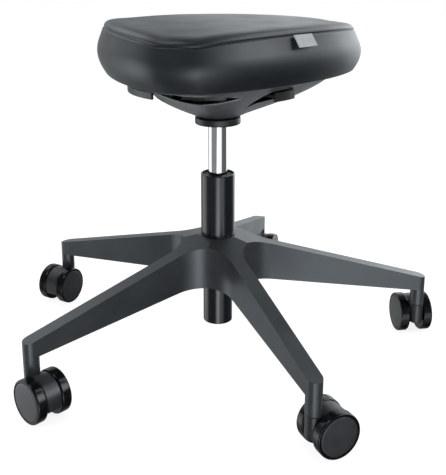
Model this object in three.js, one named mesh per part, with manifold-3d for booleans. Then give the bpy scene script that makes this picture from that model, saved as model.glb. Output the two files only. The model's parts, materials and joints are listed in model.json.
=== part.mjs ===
// Perch stool: a trefoil seat on a gas column, a five-arm base and twin-wheel castors.
// Millimetres, +Z up. The viewer stands on -Y, and azimuths count from -Y towards +X.
import * as THREE from "three";
import { mergeVertices } from "three/addons/utils/BufferGeometryUtils.js";
import Module from "manifold-3d";

const wasm = await Module();
wasm.setup();

// Fits and clearances
const touchGap = 0.3;
const slidingGap = 0.25;
const weldDistance = 0.001;
const cutMargin = 5;

// Base: arms slope from the hub to a round post that holds each castor stem
const armCount = 5;
const firstArmDegrees = 14.74;
const postCentreRadius = 309;
const armHalfWidth = 10.5;
const hubFilletRadius = 48.6;
const armTopAtInner = 163.6;
const armTopInnerRadius = 60;
const armTopAtPost = 100.05;
const armUndersideAtInner = 101.5;
const armUndersideInnerRadius = 87;
const armUndersideAtPost = 77.6;
const hubTopHeight = 172.5;
const hubTopRadius = 26.5;
const postBottomHeight = 53;
const filletSteps = 5;
const armEndSteps = 8;

// Outer tube of the column: a tapered socket end in the hub, straight above
const tubeOuterRadius = 25;
const tubeFootRadius = 22;
const tubeFootHeight = 35.3;
const tubeTaperLowHeight = 105;
const tubeTaperHighHeight = 160;
const tubeTopHeight = 267.1;
const tubeLipChamfer = 1.2;
const tubeBoreRadius = 23;
const tubeFootBoreRadius = 19.6;
const tubeBoreStepHeight = 165;
const tubeBoreConeLength = 8;
const tubeFloorThickness = 2.7;
const rodHoleRadius = 5.4;
const columnSegments = 32;

// Guide bush inside the outer tube
const bushLowHeight = 185;
const bushHighHeight = 264.5;

// Gas cylinder, piston rod and thrust bearing
const cylinderOuterRadius = 14;
const cylinderTopRadius = 13.3;
const cylinderBoreRadius = 12.2;
const cylinderLowHeight = 125;
const cylinderTaperLength = 27;
const cylinderHeightInHousing = 25;
const cylinderCrownThickness = 8;
const sealThickness = 12;
const rodRadius = 5;
const rodLowHeight = 31;
const pistonHeadRadius = 11.8;
const pistonHeadLowHeight = 206;
const pistonHeadHeight = 13;
const raceThickness = 1.8;
const raceOuterRadius = 15;
const cageThickness = 1.2;
const rollerRadius = 1.1;
const rollerLength = 6;
const rollerCount = 8;
const rollerSegments = 6;
const cageOuterRadius = 14.6;
const bumperThickness = 10;
const bumperRadius = 12.5;
const clipThickness = 1.6;
const clipRadius = 8.5;
const clipGrooveDepth = 1;
const columnInnerSegments = 20;

// Collar under the seat mechanism
const collarRadius = 33.1;
const collarThickness = 10.3;
const collarEdgeRadius = 2;
const collarNeckRadius = 26;
const collarNeckHeight = 2.4;

// Seat plan: a trefoil of constant width, eased at its corners, with one corner towards the front
const cushionRadius = 191.42;
const cushionLobe = 26.3;
const trefoilEasingShare = 0.082;
const cushionCentreX = 1.28;
const cushionCentreY = 27.69;
const seatFrontDegrees = -13.9;
const seamHeight = 471.44;
const seamWave = 4.03;
const seamSecondWave = -1.89;
const cushionBottomHeight = 410.3;
const cushionBottomInset = 5.6;
const cushionFootBevel = 3.2;
const cushionLowHeight = 423.4;
const cushionLowBulge = 3.5;
const cushionWidestHeight = 442.15;
const cushionWidestBulge = 8.2;
const cushionHighHeight = 456.3;
const cushionHighBulge = 5.4;
const cushionShoulderRise = 5;
const cushionShoulderInset = 6;
const cushionPanelRise = 10.5;
const cushionPanelInset = 28;
const cushionCrownHeight = 491.6;
const seamChannelDepth = 1.6;
const seamChannelHalfHeight = 1.8;
const seamFootBulge = 1.35;
const cushionSegments = 72;
const widestWaveShare = 0.2;
const crownRingShares = [0.36, 0.62, 0.85];

// Label that hangs from the seam on the right of the front corner
const labelWidth = 37;
const labelHeight = 17.8;
const labelThickness = 0.8;
const labelDegrees = 43.8;
const labelTopAboveSeam = 3.96;
const labelLeanDegrees = 36;

// Seat pan: a shallow dish between the housing rim and the cushion
const rimRadius = 150;
const rimLobe = 24;
const rimCentreBehind = 28;
const rimTopHeight = 403.7;
const panEdgeInset = 13;
const panTopHeight = 410;
const panTopLipHeight = 409.2;
const panSegments = 48;
const panRimOverhang = 0.8;

// Mechanism housing: a hollow shell from a round neck to the trefoil rim
const housingNeckRadius = 33.5;
const housingHeight = 49.7;
const housingWallRise = 4.4;
const housingCornerBulge = 20;
const housingSegments = 48;
const housingRingCount = 4;
const socketRadius = 22;
const socketRiseAboveCylinder = 2;
const screwPostRadius = 7;
const screwPilotRadius = 2.35;
const screwPilotDepth = 12;
const screwPostSegments = 16;
const screwFrontRadius = 80;
const screwRearRadius = 115;
const screwRadius = 2;
const screwLength = 14;
const screwHeadRadius = 5;
const screwHeadHeight = 2.6;
const screwHeadSinkGap = 0.5;
const screwSocketRadius = 1.7;
const screwSocketDepth = 1.5;
const screwFrontDegrees = 41;
const screwRearDegrees = 120;

// Openings of the housing: a lens in front and a window on each side
const frontLensHalfWidth = 52;
const frontLensTipHeight = 392.6;
const frontLensTopHeight = 397.8;
const frontLensBottomHeight = 386.4;
const frontLensSteps = 8;
const sideWindowDegrees = 70;
const sideWindowHalfWidth = 25;
const sideWindowLowHeight = 368.5;
const sideWindowHighHeight = 399.8;
const sideWindowShares = [
  { across: -0.64, rise: 0 },
  { across: -0.6, rise: 0.1757 },
  { across: -0.4, rise: 0.3035 },
  { across: 0.2, rise: 0.3834 },
  { across: 1, rise: 0.4473 },
  { across: 1, rise: 1 },
  { across: 0.48, rise: 1 },
  { across: -0.24, rise: 0.9744 },
  { across: -0.64, rise: 0.8946 },
  { across: -0.84, rise: 0.7508 },
  { across: -0.92, rise: 0.5591 },
  { across: -0.92, rise: 0.3674 },
];
const openingInnerReach = 58;
const openingOuterReach = 160;

// Release lever: a plate over the valve pin, spokes, and three curved blades
const leverPlateAboveCylinder = 8.6;
const leverPlateThickness = 3.6;
const leverPlateRadius = 12;
const leverPivotAhead = 25;
const leverBarrelRadius = 4.6;
const leverBarrelHalfLength = 8.5;
const leverSpokeHalfWidth = 6;
const bladeThickness = 4;
const bladeTopHeight = 396.5;
const sideBladeLowHeight = 384;
const frontBladeLowHeight = 390;
const frontBladeRadius = 122;
const rightBladeRadius = 124;
const leftBladeRadius = 129;
const frontBladeDegrees = { from: -24, to: 4 };
const rightBladeDegrees = { from: 38, to: 58 };
const leftBladeDegrees = { from: -96, to: -43 };
const leftSpokeDegrees = -72;
const rightSpokeDegrees = 45;
const bladeSteps = 8;
const bladeKnobRadius = 4.5;
const bladeKnobSegments = 14;
const pivotPinRadius = 2.5;
const pivotPinOverhang = 0.6;
const pivotPinSegments = 16;
const lugThickness = 4;
const lugHalfDepth = 5;
const lugTopAboveAxis = 5.6;
const valvePinRadius = 3.4;
const valvePinLength = 26;
const valvePinSegments = 16;
const leverSegments = 24;

// Heights that follow from the rim of the housing
const housingLowHeight = rimTopHeight - housingHeight;
const cylinderTopHeight = housingLowHeight + cylinderHeightInHousing;
const cylinderTaperHeight = cylinderTopHeight - cylinderTaperLength;
const socketTopHeight = cylinderTopHeight + socketRiseAboveCylinder;
const leverPlateLow = cylinderTopHeight + leverPlateAboveCylinder;
const leverPlateHigh = leverPlateLow + leverPlateThickness;
const pivotAxisHeight = (leverPlateLow + leverPlateHigh) / 2;
const lugTopHeight = pivotAxisHeight + lugTopAboveAxis;

// Castors: a hood and nose between two wheels, on a steel stem
const castorTrailDegrees = [20, 352.5, 64, 133.7, 208.7];
const wheelRadius = 29.6;
const wheelWidth = 13.8;
const wheelCentreOffset = 17.85;
const wheelEdgeChamfer = 2;
const wheelSegments = 20;
const wheelCapRadius = 23.4;
const wheelCapDepth = 2.6;
const wheelCapDome = 0.7;
const wheelHubDepth = 3.4;
const castorTrail = 21.4;
const castorNoseRadius = 10.4;
const castorNoseLowHeight = 22;
const castorNoseChamfer = 2.4;
const castorHoodRadius = 28;
const castorHoodThickness = 3;
const castorHoodHalfWidth = 10.1;
const castorWebHalfWidth = 4;
const castorBossRadius = 8.5;
const castorHoodLowDegrees = -22;
const castorHoodHighDegrees = 128;
const castorHoodSteps = 6;
const castorSegments = 16;
const axleRadius = 3;
const axleEndGap = 3.8;
const stemRadius = 5;
const stemLowHeight = 30;
const stemHighHeight = 84;
const stemCollarRadius = 7;
const stemCollarThickness = 1.6;
const stemChamfer = 1;
const stemSegments = 12;

const radians = THREE.MathUtils.degToRad;
const group = new THREE.Group();
group.name = "perch_stool";

const finishes = {
  base: { color: 0x44464a, roughness: 0.42, metalness: 0.55 },
  tube: { color: 0x15171c, roughness: 0.2, metalness: 0.6 },
  chrome: { color: 0xd5d8dc, roughness: 0.08, metalness: 1 },
  steel: { color: 0x8d9095, roughness: 0.35, metalness: 0.9 },
  plastic: { color: 0x17181a, roughness: 0.5, metalness: 0 },
  housing: { color: 0x3b3d41, roughness: 0.45, metalness: 0.3 },
  bush: { color: 0x202124, roughness: 0.55, metalness: 0 },
  rubber: { color: 0x121212, roughness: 0.9, metalness: 0 },
  cover: { color: 0x16171a, roughness: 0.45, metalness: 0 },
  label: { color: 0xb9bdc4, roughness: 0.9, metalness: 0 },
  tread: { color: 0x0e0f10, roughness: 0.25, metalness: 0 },
  cap: { color: 0x2a2b2e, roughness: 0.45, metalness: 0 },
  hood: { color: 0x3a3b3e, roughness: 0.5, metalness: 0 },
};

// A unit vector at an azimuth from -Y towards +X
function outward(degrees) {
  const angle = radians(degrees);
  return new THREE.Vector2(Math.sin(angle), -Math.cos(angle));
}

// A unit vector at a compass angle, clockwise from +Y
function compass(degrees) {
  const angle = radians(degrees);
  return new THREE.Vector2(Math.sin(angle), Math.cos(angle));
}

function toSolid(geometry) {
  const bare = geometry.index ? geometry.toNonIndexed() : geometry.clone();
  bare.deleteAttribute("normal");
  bare.deleteAttribute("uv");
  const merged = mergeVertices(bare, weldDistance);
  return new wasm.Manifold(
    new wasm.Mesh({
      numProp: 3,
      vertProperties: new Float32Array(merged.attributes.position.array),
      triVerts: new Uint32Array(merged.index.array),
    }),
  );
}

function toGeometry(solid) {
  const mesh = solid.getMesh();
  const positions = new Float32Array(mesh.numVert * 3);
  for (let vertex = 0; vertex < mesh.numVert; vertex++) {
    const start = vertex * mesh.numProp;
    positions.set(mesh.vertProperties.subarray(start, start + 3), vertex * 3);
  }
  const indexed = new THREE.BufferGeometry()
    .setAttribute("position", new THREE.BufferAttribute(positions, 3))
    .setIndex(new THREE.BufferAttribute(new Uint32Array(mesh.triVerts), 1));
  const flat = indexed.toNonIndexed();
  flat.computeVertexNormals();
  return flat;
}

function addNode(name, solid, finish) {
  const material = new THREE.MeshStandardMaterial(finishes[finish]);
  const mesh = new THREE.Mesh(toGeometry(solid), material);
  mesh.name = name;
  group.add(mesh);
}

// A body turned about Z from points of radius and height
function turned(profile, segments) {
  const build = (points) => {
    const geometry = new THREE.LatheGeometry(points, segments);
    geometry.rotateX(Math.PI / 2);
    return toSolid(geometry);
  };
  const points = profile.map(([radius, height]) => new THREE.Vector2(radius, height));
  const made = build(points);
  return made.volume() > 0 ? made : build(points.reverse());
}

// A plain cylinder between two heights
function disc(radius, low, high, segments) {
  return turned([[0, low], [radius, low], [radius, high], [0, high]], segments);
}

// A ring of rectangular section between two radii and two heights
function band(inner, outer, low, high, segments) {
  const corners = [[inner, low], [outer, low], [outer, high], [inner, high], [inner, low]];
  return turned(corners, segments);
}

// A prism over a plan outline between two heights
function prism(outline, low, high) {
  const shape = new THREE.Shape(outline);
  const settings = { depth: high - low, bevelEnabled: false };
  const geometry = new THREE.ExtrudeGeometry(shape, settings);
  geometry.translate(0, 0, low);
  return toSolid(geometry);
}

function box(width, depth, low, high) {
  const corners = [[-width, -depth], [width, -depth], [width, depth], [-width, depth]];
  return prism(corners.map(([x, y]) => new THREE.Vector2(x / 2, y / 2)), low, high);
}

// A closed skin over rings of equal count, lowest first, each counted towards +X
function skin(rings) {
  const count = rings[0].length;
  const points = [];
  const faces = [];
  rings.forEach((ring) => points.push(...ring));
  for (let level = 0; level + 1 < rings.length; level++) {
    for (let step = 0; step < count; step++) {
      const next = (step + 1) % count;
      const low = level * count;
      const high = low + count;
      faces.push(low + step, low + next, high + next);
      faces.push(low + step, high + next, high + step);
    }
  }
  const lowCentre = points.push(centreOf(rings[0])) - 1;
  const highCentre = points.push(centreOf(rings[rings.length - 1])) - 1;
  const last = (rings.length - 1) * count;
  for (let step = 0; step < count; step++) {
    const next = (step + 1) % count;
    faces.push(lowCentre, next, step);
    faces.push(highCentre, last + step, last + next);
  }
  const geometry = new THREE.BufferGeometry().setFromPoints(points);
  geometry.setIndex(faces);
  return toSolid(geometry);
}

function centreOf(ring) {
  const sum = ring.reduce((total, point) => total.add(point), new THREE.Vector3());
  return sum.divideScalar(ring.length);
}

// A solid moved by a plan position, after a turn about Z
function placed(solid, position, degrees) {
  return solid.rotate([0, 0, degrees]).translate([position.x, position.y, 0]);
}

// A solid that was made along Z, laid so that its length runs along +Y
function laidAlongY(solid) {
  return solid.rotate([-90, 0, 0]);
}

function joined(solids) {
  return solids.reduce((sum, solid) => sum.add(solid));
}

// Base

function armDegrees(index) {
  return firstArmDegrees + (index * 360) / armCount;
}

// The plan outline of the arms, with a fillet between neighbours
function starOutline() {
  const outline = [];
  const halfTurn = 180 / armCount;
  const filletCentre = hubFilletRadius + armHalfWidth;
  const filletDistance = filletCentre / Math.sin(radians(halfTurn));
  for (let index = 0; index < armCount; index++) {
    const along = compass(armDegrees(index));
    const across = new THREE.Vector2(along.y, -along.x);
    const end = along.clone().multiplyScalar(postCentreRadius);
    for (let step = 0; step <= armEndSteps; step++) {
      const angle = radians(-90 + (180 * step) / armEndSteps);
      const side = across.clone().multiplyScalar(armHalfWidth * Math.sin(angle));
      const forward = along.clone().multiplyScalar(armHalfWidth * Math.cos(angle));
      outline.push(end.clone().add(side).add(forward));
    }
    const between = armDegrees(index) + halfTurn;
    const centre = compass(between).multiplyScalar(filletDistance);
    const sweep = 90 - halfTurn;
    for (let step = 0; step <= filletSteps; step++) {
      const angle = between + 180 + sweep - (2 * sweep * step) / filletSteps;
      outline.push(centre.clone().add(compass(angle).multiplyScalar(hubFilletRadius)));
    }
  }
  return outline.reverse();
}

// The hub and arm profile, turned in as many flat faces as there are arms
function armEnvelope() {
  const farRadius = postCentreRadius + armHalfWidth + cutMargin;
  const topSlope = (armTopAtPost - armTopAtInner) / (postCentreRadius - armTopInnerRadius);
  const undersideRun = postCentreRadius - armUndersideInnerRadius;
  const undersideSlope = (armUndersideAtPost - armUndersideAtInner) / undersideRun;
  const topAt = (radius) => armTopAtInner + topSlope * (radius - armTopInnerRadius);
  const undersideAt = (radius) =>
    armUndersideAtInner + undersideSlope * (radius - armUndersideInnerRadius);
  const cornerShare = 1 / Math.cos(Math.PI / armCount);
  const profile = [
    [0, undersideAt(hubTopRadius)],
    [hubTopRadius * cornerShare, undersideAt(hubTopRadius)],
    [farRadius * cornerShare, undersideAt(farRadius)],
    [farRadius * cornerShare, topAt(farRadius)],
    [hubTopRadius * cornerShare, hubTopHeight],
    [0, hubTopHeight],
  ];
  const halfFace = 180 / armCount;
  const firstCorner = 90 - firstArmDegrees - halfFace;
  return { solid: turned(profile, armCount).rotate([0, 0, firstCorner + 90]), topAt };
}

function columnBore() {
  const spare = touchGap;
  return turned(
    [
      [0, 0],
      [tubeFootRadius + spare, 0],
      [tubeFootRadius + spare, tubeTaperLowHeight],
      [tubeOuterRadius + spare, tubeTaperHighHeight],
      [tubeOuterRadius + spare, hubTopHeight + cutMargin],
      [0, hubTopHeight + cutMargin],
    ],
    columnSegments,
  );
}

function makeBase() {
  const envelope = armEnvelope();
  const star = prism(starOutline(), 0, hubTopHeight + cutMargin);
  let base = star.intersect(envelope.solid);
  const stemBore = disc(
    stemRadius + touchGap,
    postBottomHeight - cutMargin,
    stemHighHeight + touchGap,
    stemSegments,
  );
  const post = disc(armHalfWidth, postBottomHeight, armUndersideAtPost + cutMargin, castorSegments);
  for (let index = 0; index < armCount; index++) {
    const position = compass(armDegrees(index)).multiplyScalar(postCentreRadius);
    base = base.add(placed(post, position, 0));
  }
  for (let index = 0; index < armCount; index++) {
    const position = compass(armDegrees(index)).multiplyScalar(postCentreRadius);
    base = base.subtract(placed(stemBore, position, 0));
  }
  addNode("base_star", base.subtract(columnBore()), "base");
}

// Column

function makeGuideTube() {
  const floorTop = tubeFootHeight + tubeFloorThickness;
  const tube = turned(
    [
      [rodHoleRadius, tubeFootHeight],
      [tubeFootRadius, tubeFootHeight],
      [tubeFootRadius, tubeTaperLowHeight],
      [tubeOuterRadius, tubeTaperHighHeight],
      [tubeOuterRadius, tubeTopHeight - tubeLipChamfer],
      [tubeOuterRadius - tubeLipChamfer, tubeTopHeight],
      [tubeBoreRadius, tubeTopHeight],
      [tubeBoreRadius, tubeBoreStepHeight],
      [tubeFootBoreRadius, tubeBoreStepHeight - tubeBoreConeLength],
      [tubeFootBoreRadius, floorTop],
      [rodHoleRadius, floorTop],
      [rodHoleRadius, tubeFootHeight],
    ],
    columnSegments,
  );
  addNode("guide_tube", tube, "tube");
  const bushInner = cylinderOuterRadius + slidingGap;
  const bushOuter = tubeBoreRadius - touchGap;
  const bush = band(bushInner, bushOuter, bushLowHeight, bushHighHeight, columnSegments);
  addNode("guide_bush", bush, "bush");
}

function makeThrustBearing() {
  const raceBore = rodRadius + touchGap;
  const lowerLow = tubeFootHeight + tubeFloorThickness + touchGap;
  const lowerHigh = lowerLow + raceThickness;
  const rollerAxis = lowerHigh + slidingGap + rollerRadius;
  const upperLow = rollerAxis + rollerRadius + slidingGap;
  const upperHigh = upperLow + raceThickness;
  const race = (low, high) => band(raceBore, raceOuterRadius, low, high, columnInnerSegments);
  addNode("bearing_lower_race", race(lowerLow, lowerHigh), "steel");
  addNode("bearing_upper_race", race(upperLow, upperHigh), "steel");
  const cageLow = rollerAxis - cageThickness / 2;
  const cageBore = raceBore + slidingGap;
  let cage = band(
    cageBore,
    cageOuterRadius,
    cageLow,
    cageLow + cageThickness,
    columnInnerSegments,
  );
  const rollerStart = (cageBore + cageOuterRadius - rollerLength) / 2;
  const rollerEnd = rollerStart + rollerLength;
  const roller = laidAlongY(disc(rollerRadius, rollerStart, rollerEnd, rollerSegments));
  for (let index = 0; index < rollerCount; index++) {
    const turn = (index * 360) / rollerCount;
    cage = cage.add(roller.translate([0, 0, rollerAxis]).rotate([0, 0, turn]));
  }
  addNode("bearing_cage", cage, "steel");
  const bumperLow = upperHigh + touchGap;
  const bumper = band(
    raceBore,
    bumperRadius,
    bumperLow,
    bumperLow + bumperThickness,
    columnInnerSegments,
  );
  addNode("rubber_bumper", bumper, "rubber");
}

function makePistonRod() {
  const headHigh = pistonHeadLowHeight + pistonHeadHeight;
  const clipLow = tubeFootHeight - touchGap - clipThickness;
  const clipHigh = tubeFootHeight - touchGap;
  const grooveRadius = rodRadius - clipGrooveDepth;
  const rod = turned(
    [
      [0, rodLowHeight],
      [rodRadius, rodLowHeight],
      [rodRadius, clipLow - slidingGap],
      [grooveRadius, clipLow - slidingGap],
      [grooveRadius, clipHigh + slidingGap],
      [rodRadius, clipHigh + slidingGap],
      [rodRadius, pistonHeadLowHeight],
      [pistonHeadRadius, pistonHeadLowHeight],
      [pistonHeadRadius, headHigh],
      [0, headHigh],
    ],
    columnInnerSegments,
  );
  addNode("piston_rod", rod, "chrome");
  const clipBore = grooveRadius + slidingGap;
  const clip = band(clipBore, clipRadius, clipLow, clipHigh, columnInnerSegments);
  addNode("rod_clip", clip, "steel");
}

function makeGasCylinder() {
  const pinBore = valvePinRadius + slidingGap;
  const crownLow = cylinderTopHeight - cylinderCrownThickness;
  const cylinder = turned(
    [
      [cylinderBoreRadius, cylinderLowHeight],
      [cylinderOuterRadius, cylinderLowHeight],
      [cylinderOuterRadius, cylinderTaperHeight],
      [cylinderTopRadius, cylinderTopHeight],
      [pinBore, cylinderTopHeight],
      [pinBore, crownLow],
      [cylinderBoreRadius, crownLow],
      [cylinderBoreRadius, cylinderLowHeight],
    ],
    columnSegments,
  );
  addNode("gas_cylinder", cylinder, "chrome");
  const seal = band(
    rodRadius + slidingGap,
    cylinderBoreRadius - touchGap,
    cylinderLowHeight + touchGap,
    cylinderLowHeight + touchGap + sealThickness,
    columnInnerSegments,
  );
  addNode("rod_seal", seal, "rubber");
}

function makeCollar() {
  const bore = cylinderOuterRadius + slidingGap;
  const neckTop = housingLowHeight - touchGap;
  const high = neckTop - collarNeckHeight;
  const low = high - collarThickness;
  const collar = turned(
    [
      [bore, low],
      [collarRadius - collarEdgeRadius, low],
      [collarRadius, low + collarEdgeRadius],
      [collarRadius, high - collarEdgeRadius],
      [collarRadius - collarEdgeRadius, high],
      [collarNeckRadius, high],
      [collarNeckRadius, neckTop],
      [bore, neckTop],
      [bore, low],
    ],
    columnSegments,
  );
  addNode("flange_collar", collar, "plastic");
}

// Seat

function trefoilPhase(degrees) {
  return radians(3 * (degrees - seatFrontDegrees));
}

// The point of a trefoil whose outward direction has this azimuth
function trefoilPoint(radius, lobe, centre, degrees) {
  const phase = trefoilPhase(degrees);
  const easing = lobe * trefoilEasingShare;
  const normal = outward(degrees);
  const support = radius + lobe * Math.cos(phase) - easing * Math.cos(2 * phase);
  const slip = 6 * easing * Math.sin(2 * phase) - 3 * lobe * Math.sin(phase);
  return new THREE.Vector2(
    centre.x + support * normal.x - slip * normal.y,
    centre.y + support * normal.y + slip * normal.x,
  );
}

// One ring of a trefoil about a centre
function trefoilRing(radius, lobe, centre, count, heightAt) {
  const ring = [];
  for (let step = 0; step < count; step++) {
    const degrees = (step * 360) / count;
    const point = trefoilPoint(radius, lobe, centre, degrees);
    ring.push(new THREE.Vector3(point.x, point.y, heightAt(trefoilPhase(degrees))));
  }
  return ring;
}

function cushionRing(bulge, height, waveShare, keptShare) {
  const centre = new THREE.Vector2(cushionCentreX, cushionCentreY);
  const radius = (cushionRadius + bulge) * keptShare;
  const lobe = cushionLobe * keptShare;
  const heightAt = (phase) => {
    const wave = seamWave * Math.cos(phase) + seamSecondWave * Math.cos(2 * phase);
    return height - waveShare * wave;
  };
  return trefoilRing(radius, lobe, centre, cushionSegments, heightAt);
}

function makeCushion() {
  const midWaveShare = (widestWaveShare + 1) / 2;
  const lowWaveShare = widestWaveShare / 2;
  const panelShare = 1 - cushionPanelInset / cushionRadius;
  const shoulderShare = 1 - cushionShoulderInset / cushionRadius;
  const panelHeight = seamHeight + cushionPanelRise;
  const rings = [
    cushionRing(-cushionBottomInset - cushionFootBevel, cushionBottomHeight, 0, 1),
    cushionRing(-cushionBottomInset / 2, cushionBottomHeight + cushionFootBevel, 0, 1),
    cushionRing(cushionLowBulge, cushionLowHeight, lowWaveShare, 1),
    cushionRing(cushionWidestBulge, cushionWidestHeight, widestWaveShare, 1),
    cushionRing(cushionHighBulge, cushionHighHeight, midWaveShare, 1),
    cushionRing(seamFootBulge, seamHeight - seamChannelHalfHeight, 1, 1),
    cushionRing(-seamChannelDepth, seamHeight, 1, 1),
    cushionRing(0, seamHeight + seamChannelHalfHeight, 1, 1),
    cushionRing(0, seamHeight + cushionShoulderRise, 1, shoulderShare),
    cushionRing(0, panelHeight, 1, panelShare),
  ];
  for (const inwardShare of crownRingShares) {
    const keptShare = panelShare * (1 - inwardShare);
    const rise = 1 - (1 - inwardShare) * (1 - inwardShare);
    const height = panelHeight + (cushionCrownHeight - panelHeight) * rise;
    rings.push(cushionRing(0, height, keptShare, keptShare));
  }
  addNode("cushion", skin(rings), "cover");
}

function makeLabel() {
  const centre = new THREE.Vector2(cushionCentreX, cushionCentreY);
  const radius = cushionRadius + seamFootBulge + touchGap + labelThickness;
  const { x, y } = trefoilPoint(radius, cushionLobe, centre, labelDegrees);
  const tag = box(labelWidth, labelThickness, -labelHeight, 0)
    .rotate([-labelLeanDegrees, 0, 0])
    .rotate([0, 0, labelDegrees])
    .translate([x, y, seamHeight + labelTopAboveSeam]);
  addNode("label", tag, "label");
}

function rimCentre() {
  return outward(seatFrontDegrees).multiplyScalar(-rimCentreBehind);
}

function screwPositions() {
  const at = (degrees, radius) => outward(seatFrontDegrees + degrees).multiplyScalar(radius);
  return [
    at(screwFrontDegrees, screwFrontRadius),
    at(-screwFrontDegrees, screwFrontRadius),
    at(screwRearDegrees, screwRearRadius),
    at(-screwRearDegrees, screwRearRadius),
  ];
}

function panScrewSeat() {
  return panTopHeight - screwHeadHeight - screwHeadSinkGap;
}

function makeSeatPan() {
  const centre = new THREE.Vector2(cushionCentreX, cushionCentreY);
  const edgeRadius = cushionRadius - panEdgeInset;
  const lowHeight = rimTopHeight + touchGap;
  const headSeat = panScrewSeat();
  const rim = trefoilRing(
    rimRadius + panRimOverhang,
    rimLobe,
    rimCentre(),
    panSegments,
    () => lowHeight,
  );
  const edge = (height) =>
    trefoilRing(edgeRadius, cushionLobe, centre, panSegments, () => height);
  const holeRadius = screwRadius + touchGap;
  const recessRadius = screwHeadRadius + touchGap;
  const aboveSeat = headSeat + cutMargin;
  const hole = disc(holeRadius, lowHeight - cutMargin, aboveSeat, screwPostSegments);
  const recess = disc(recessRadius, headSeat, panTopHeight + cutMargin, screwPostSegments);
  const cutter = hole.add(recess);
  let pan = skin([rim, edge(panTopLipHeight), edge(panTopHeight)]);
  screwPositions().forEach((position) => {
    pan = pan.subtract(placed(cutter, position, 0));
  });
  addNode("seat_pan", pan, "plastic");
}

function makePanScrews() {
  const headSeat = panScrewSeat();
  const screw = turned(
    [
      [0, headSeat + touchGap - screwLength],
      [screwRadius, headSeat + touchGap - screwLength],
      [screwRadius, headSeat + touchGap],
      [screwHeadRadius, headSeat + touchGap],
      [screwHeadRadius, headSeat + screwHeadHeight],
      [screwSocketRadius, headSeat + screwHeadHeight],
      [screwSocketRadius, headSeat + screwHeadHeight - screwSocketDepth],
      [0, headSeat + screwHeadHeight - screwSocketDepth],
    ],
    screwPostSegments,
  );
  screwPositions().forEach((position, index) => {
    addNode("pan_screw_" + (index + 1), placed(screw, position, 0), "steel");
  });
}

// A ring of the housing at a share of the way from neck to rim
function housingRing(riseShare, lift) {
  const ring = [];
  const height = housingLowHeight + (rimTopHeight - housingLowHeight) * riseShare;
  const rim = trefoilRing(rimRadius, rimLobe, rimCentre(), housingSegments, () => height);
  for (const point of rim) {
    const azimuth = Math.atan2(point.x, -point.y);
    const turn = azimuth - radians(seatFrontDegrees);
    const neckX = housingNeckRadius * Math.sin(azimuth);
    const neckY = -housingNeckRadius * Math.cos(azimuth);
    const cornerShare = ((1 + Math.cos(3 * turn)) / 2) * ((1 - Math.cos(turn)) / 1.5);
    const bulge = housingCornerBulge * 4 * riseShare * (1 - riseShare) * cornerShare;
    const x = neckX + (point.x - neckX) * riseShare + bulge * Math.sin(azimuth);
    const y = neckY + (point.y - neckY) * riseShare - bulge * Math.cos(azimuth);
    ring.push(new THREE.Vector3(x, y, height + lift));
  }
  return ring;
}

function housingShell() {
  const rings = (lift) => {
    const stack = [];
    for (let level = 0; level <= housingRingCount; level++) {
      stack.push(housingRing(level / housingRingCount, lift));
    }
    return stack;
  };
  return skin(rings(0)).subtract(skin(rings(housingWallRise)));
}

function housingInside() {
  const stack = [];
  for (let level = 0; level <= housingRingCount; level++) {
    stack.push(housingRing(level / housingRingCount, housingWallRise / 2));
  }
  return skin(stack);
}

// A cutter with the outline of an opening, run outwards at an azimuth
function openingCutter(outline, degrees) {
  const cutter = prism(outline, openingInnerReach, openingOuterReach);
  return cutter.rotate([90, 0, 0]).rotate([0, 0, degrees]);
}

function frontLens() {
  const outline = [];
  for (let step = 0; step <= frontLensSteps; step++) {
    const across = -1 + (2 * step) / frontLensSteps;
    const drop = (frontLensTipHeight - frontLensBottomHeight) * (1 - across * across);
    outline.push(new THREE.Vector2(frontLensHalfWidth * across, frontLensTipHeight - drop));
  }
  for (let step = frontLensSteps - 1; step > 0; step--) {
    const across = -1 + (2 * step) / frontLensSteps;
    const rise = (frontLensTopHeight - frontLensTipHeight) * (1 - across * across);
    outline.push(new THREE.Vector2(frontLensHalfWidth * across, frontLensTipHeight + rise));
  }
  return outline;
}

function sideWindow(mirrorSign) {
  const heightRange = sideWindowHighHeight - sideWindowLowHeight;
  const points = sideWindowShares.map(({ across, rise }) => {
    const sideways = mirrorSign * across * sideWindowHalfWidth;
    return new THREE.Vector2(sideways, sideWindowLowHeight + rise * heightRange);
  });
  return mirrorSign > 0 ? points : points.reverse();
}

// Lugs on both sides of the lever carry its pivot pin
function pivotLugs() {
  const floor = housingLowHeight + housingWallRise / 2;
  const inner = leverBarrelHalfLength + touchGap;
  const lug = box(lugThickness, lugHalfDepth * 2, floor, lugTopHeight);
  const offset = inner + lugThickness / 2;
  const lugs = lug.translate([offset, 0, 0]).add(lug.translate([-offset, 0, 0]));
  const bore = pivotBore(pivotPinRadius + touchGap);
  return lugs
    .translate([0, -leverPivotAhead, 0])
    .subtract(bore)
    .rotate([0, 0, seatFrontDegrees]);
}

// A cylinder across the lever at the pivot, before the turn to the seat's front
function pivotBore(radius) {
  const half = leverBarrelHalfLength + lugThickness + cutMargin;
  return disc(radius, -half, half, pivotPinSegments)
    .rotate([0, 90, 0])
    .translate([0, -leverPivotAhead, pivotAxisHeight]);
}

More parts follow.
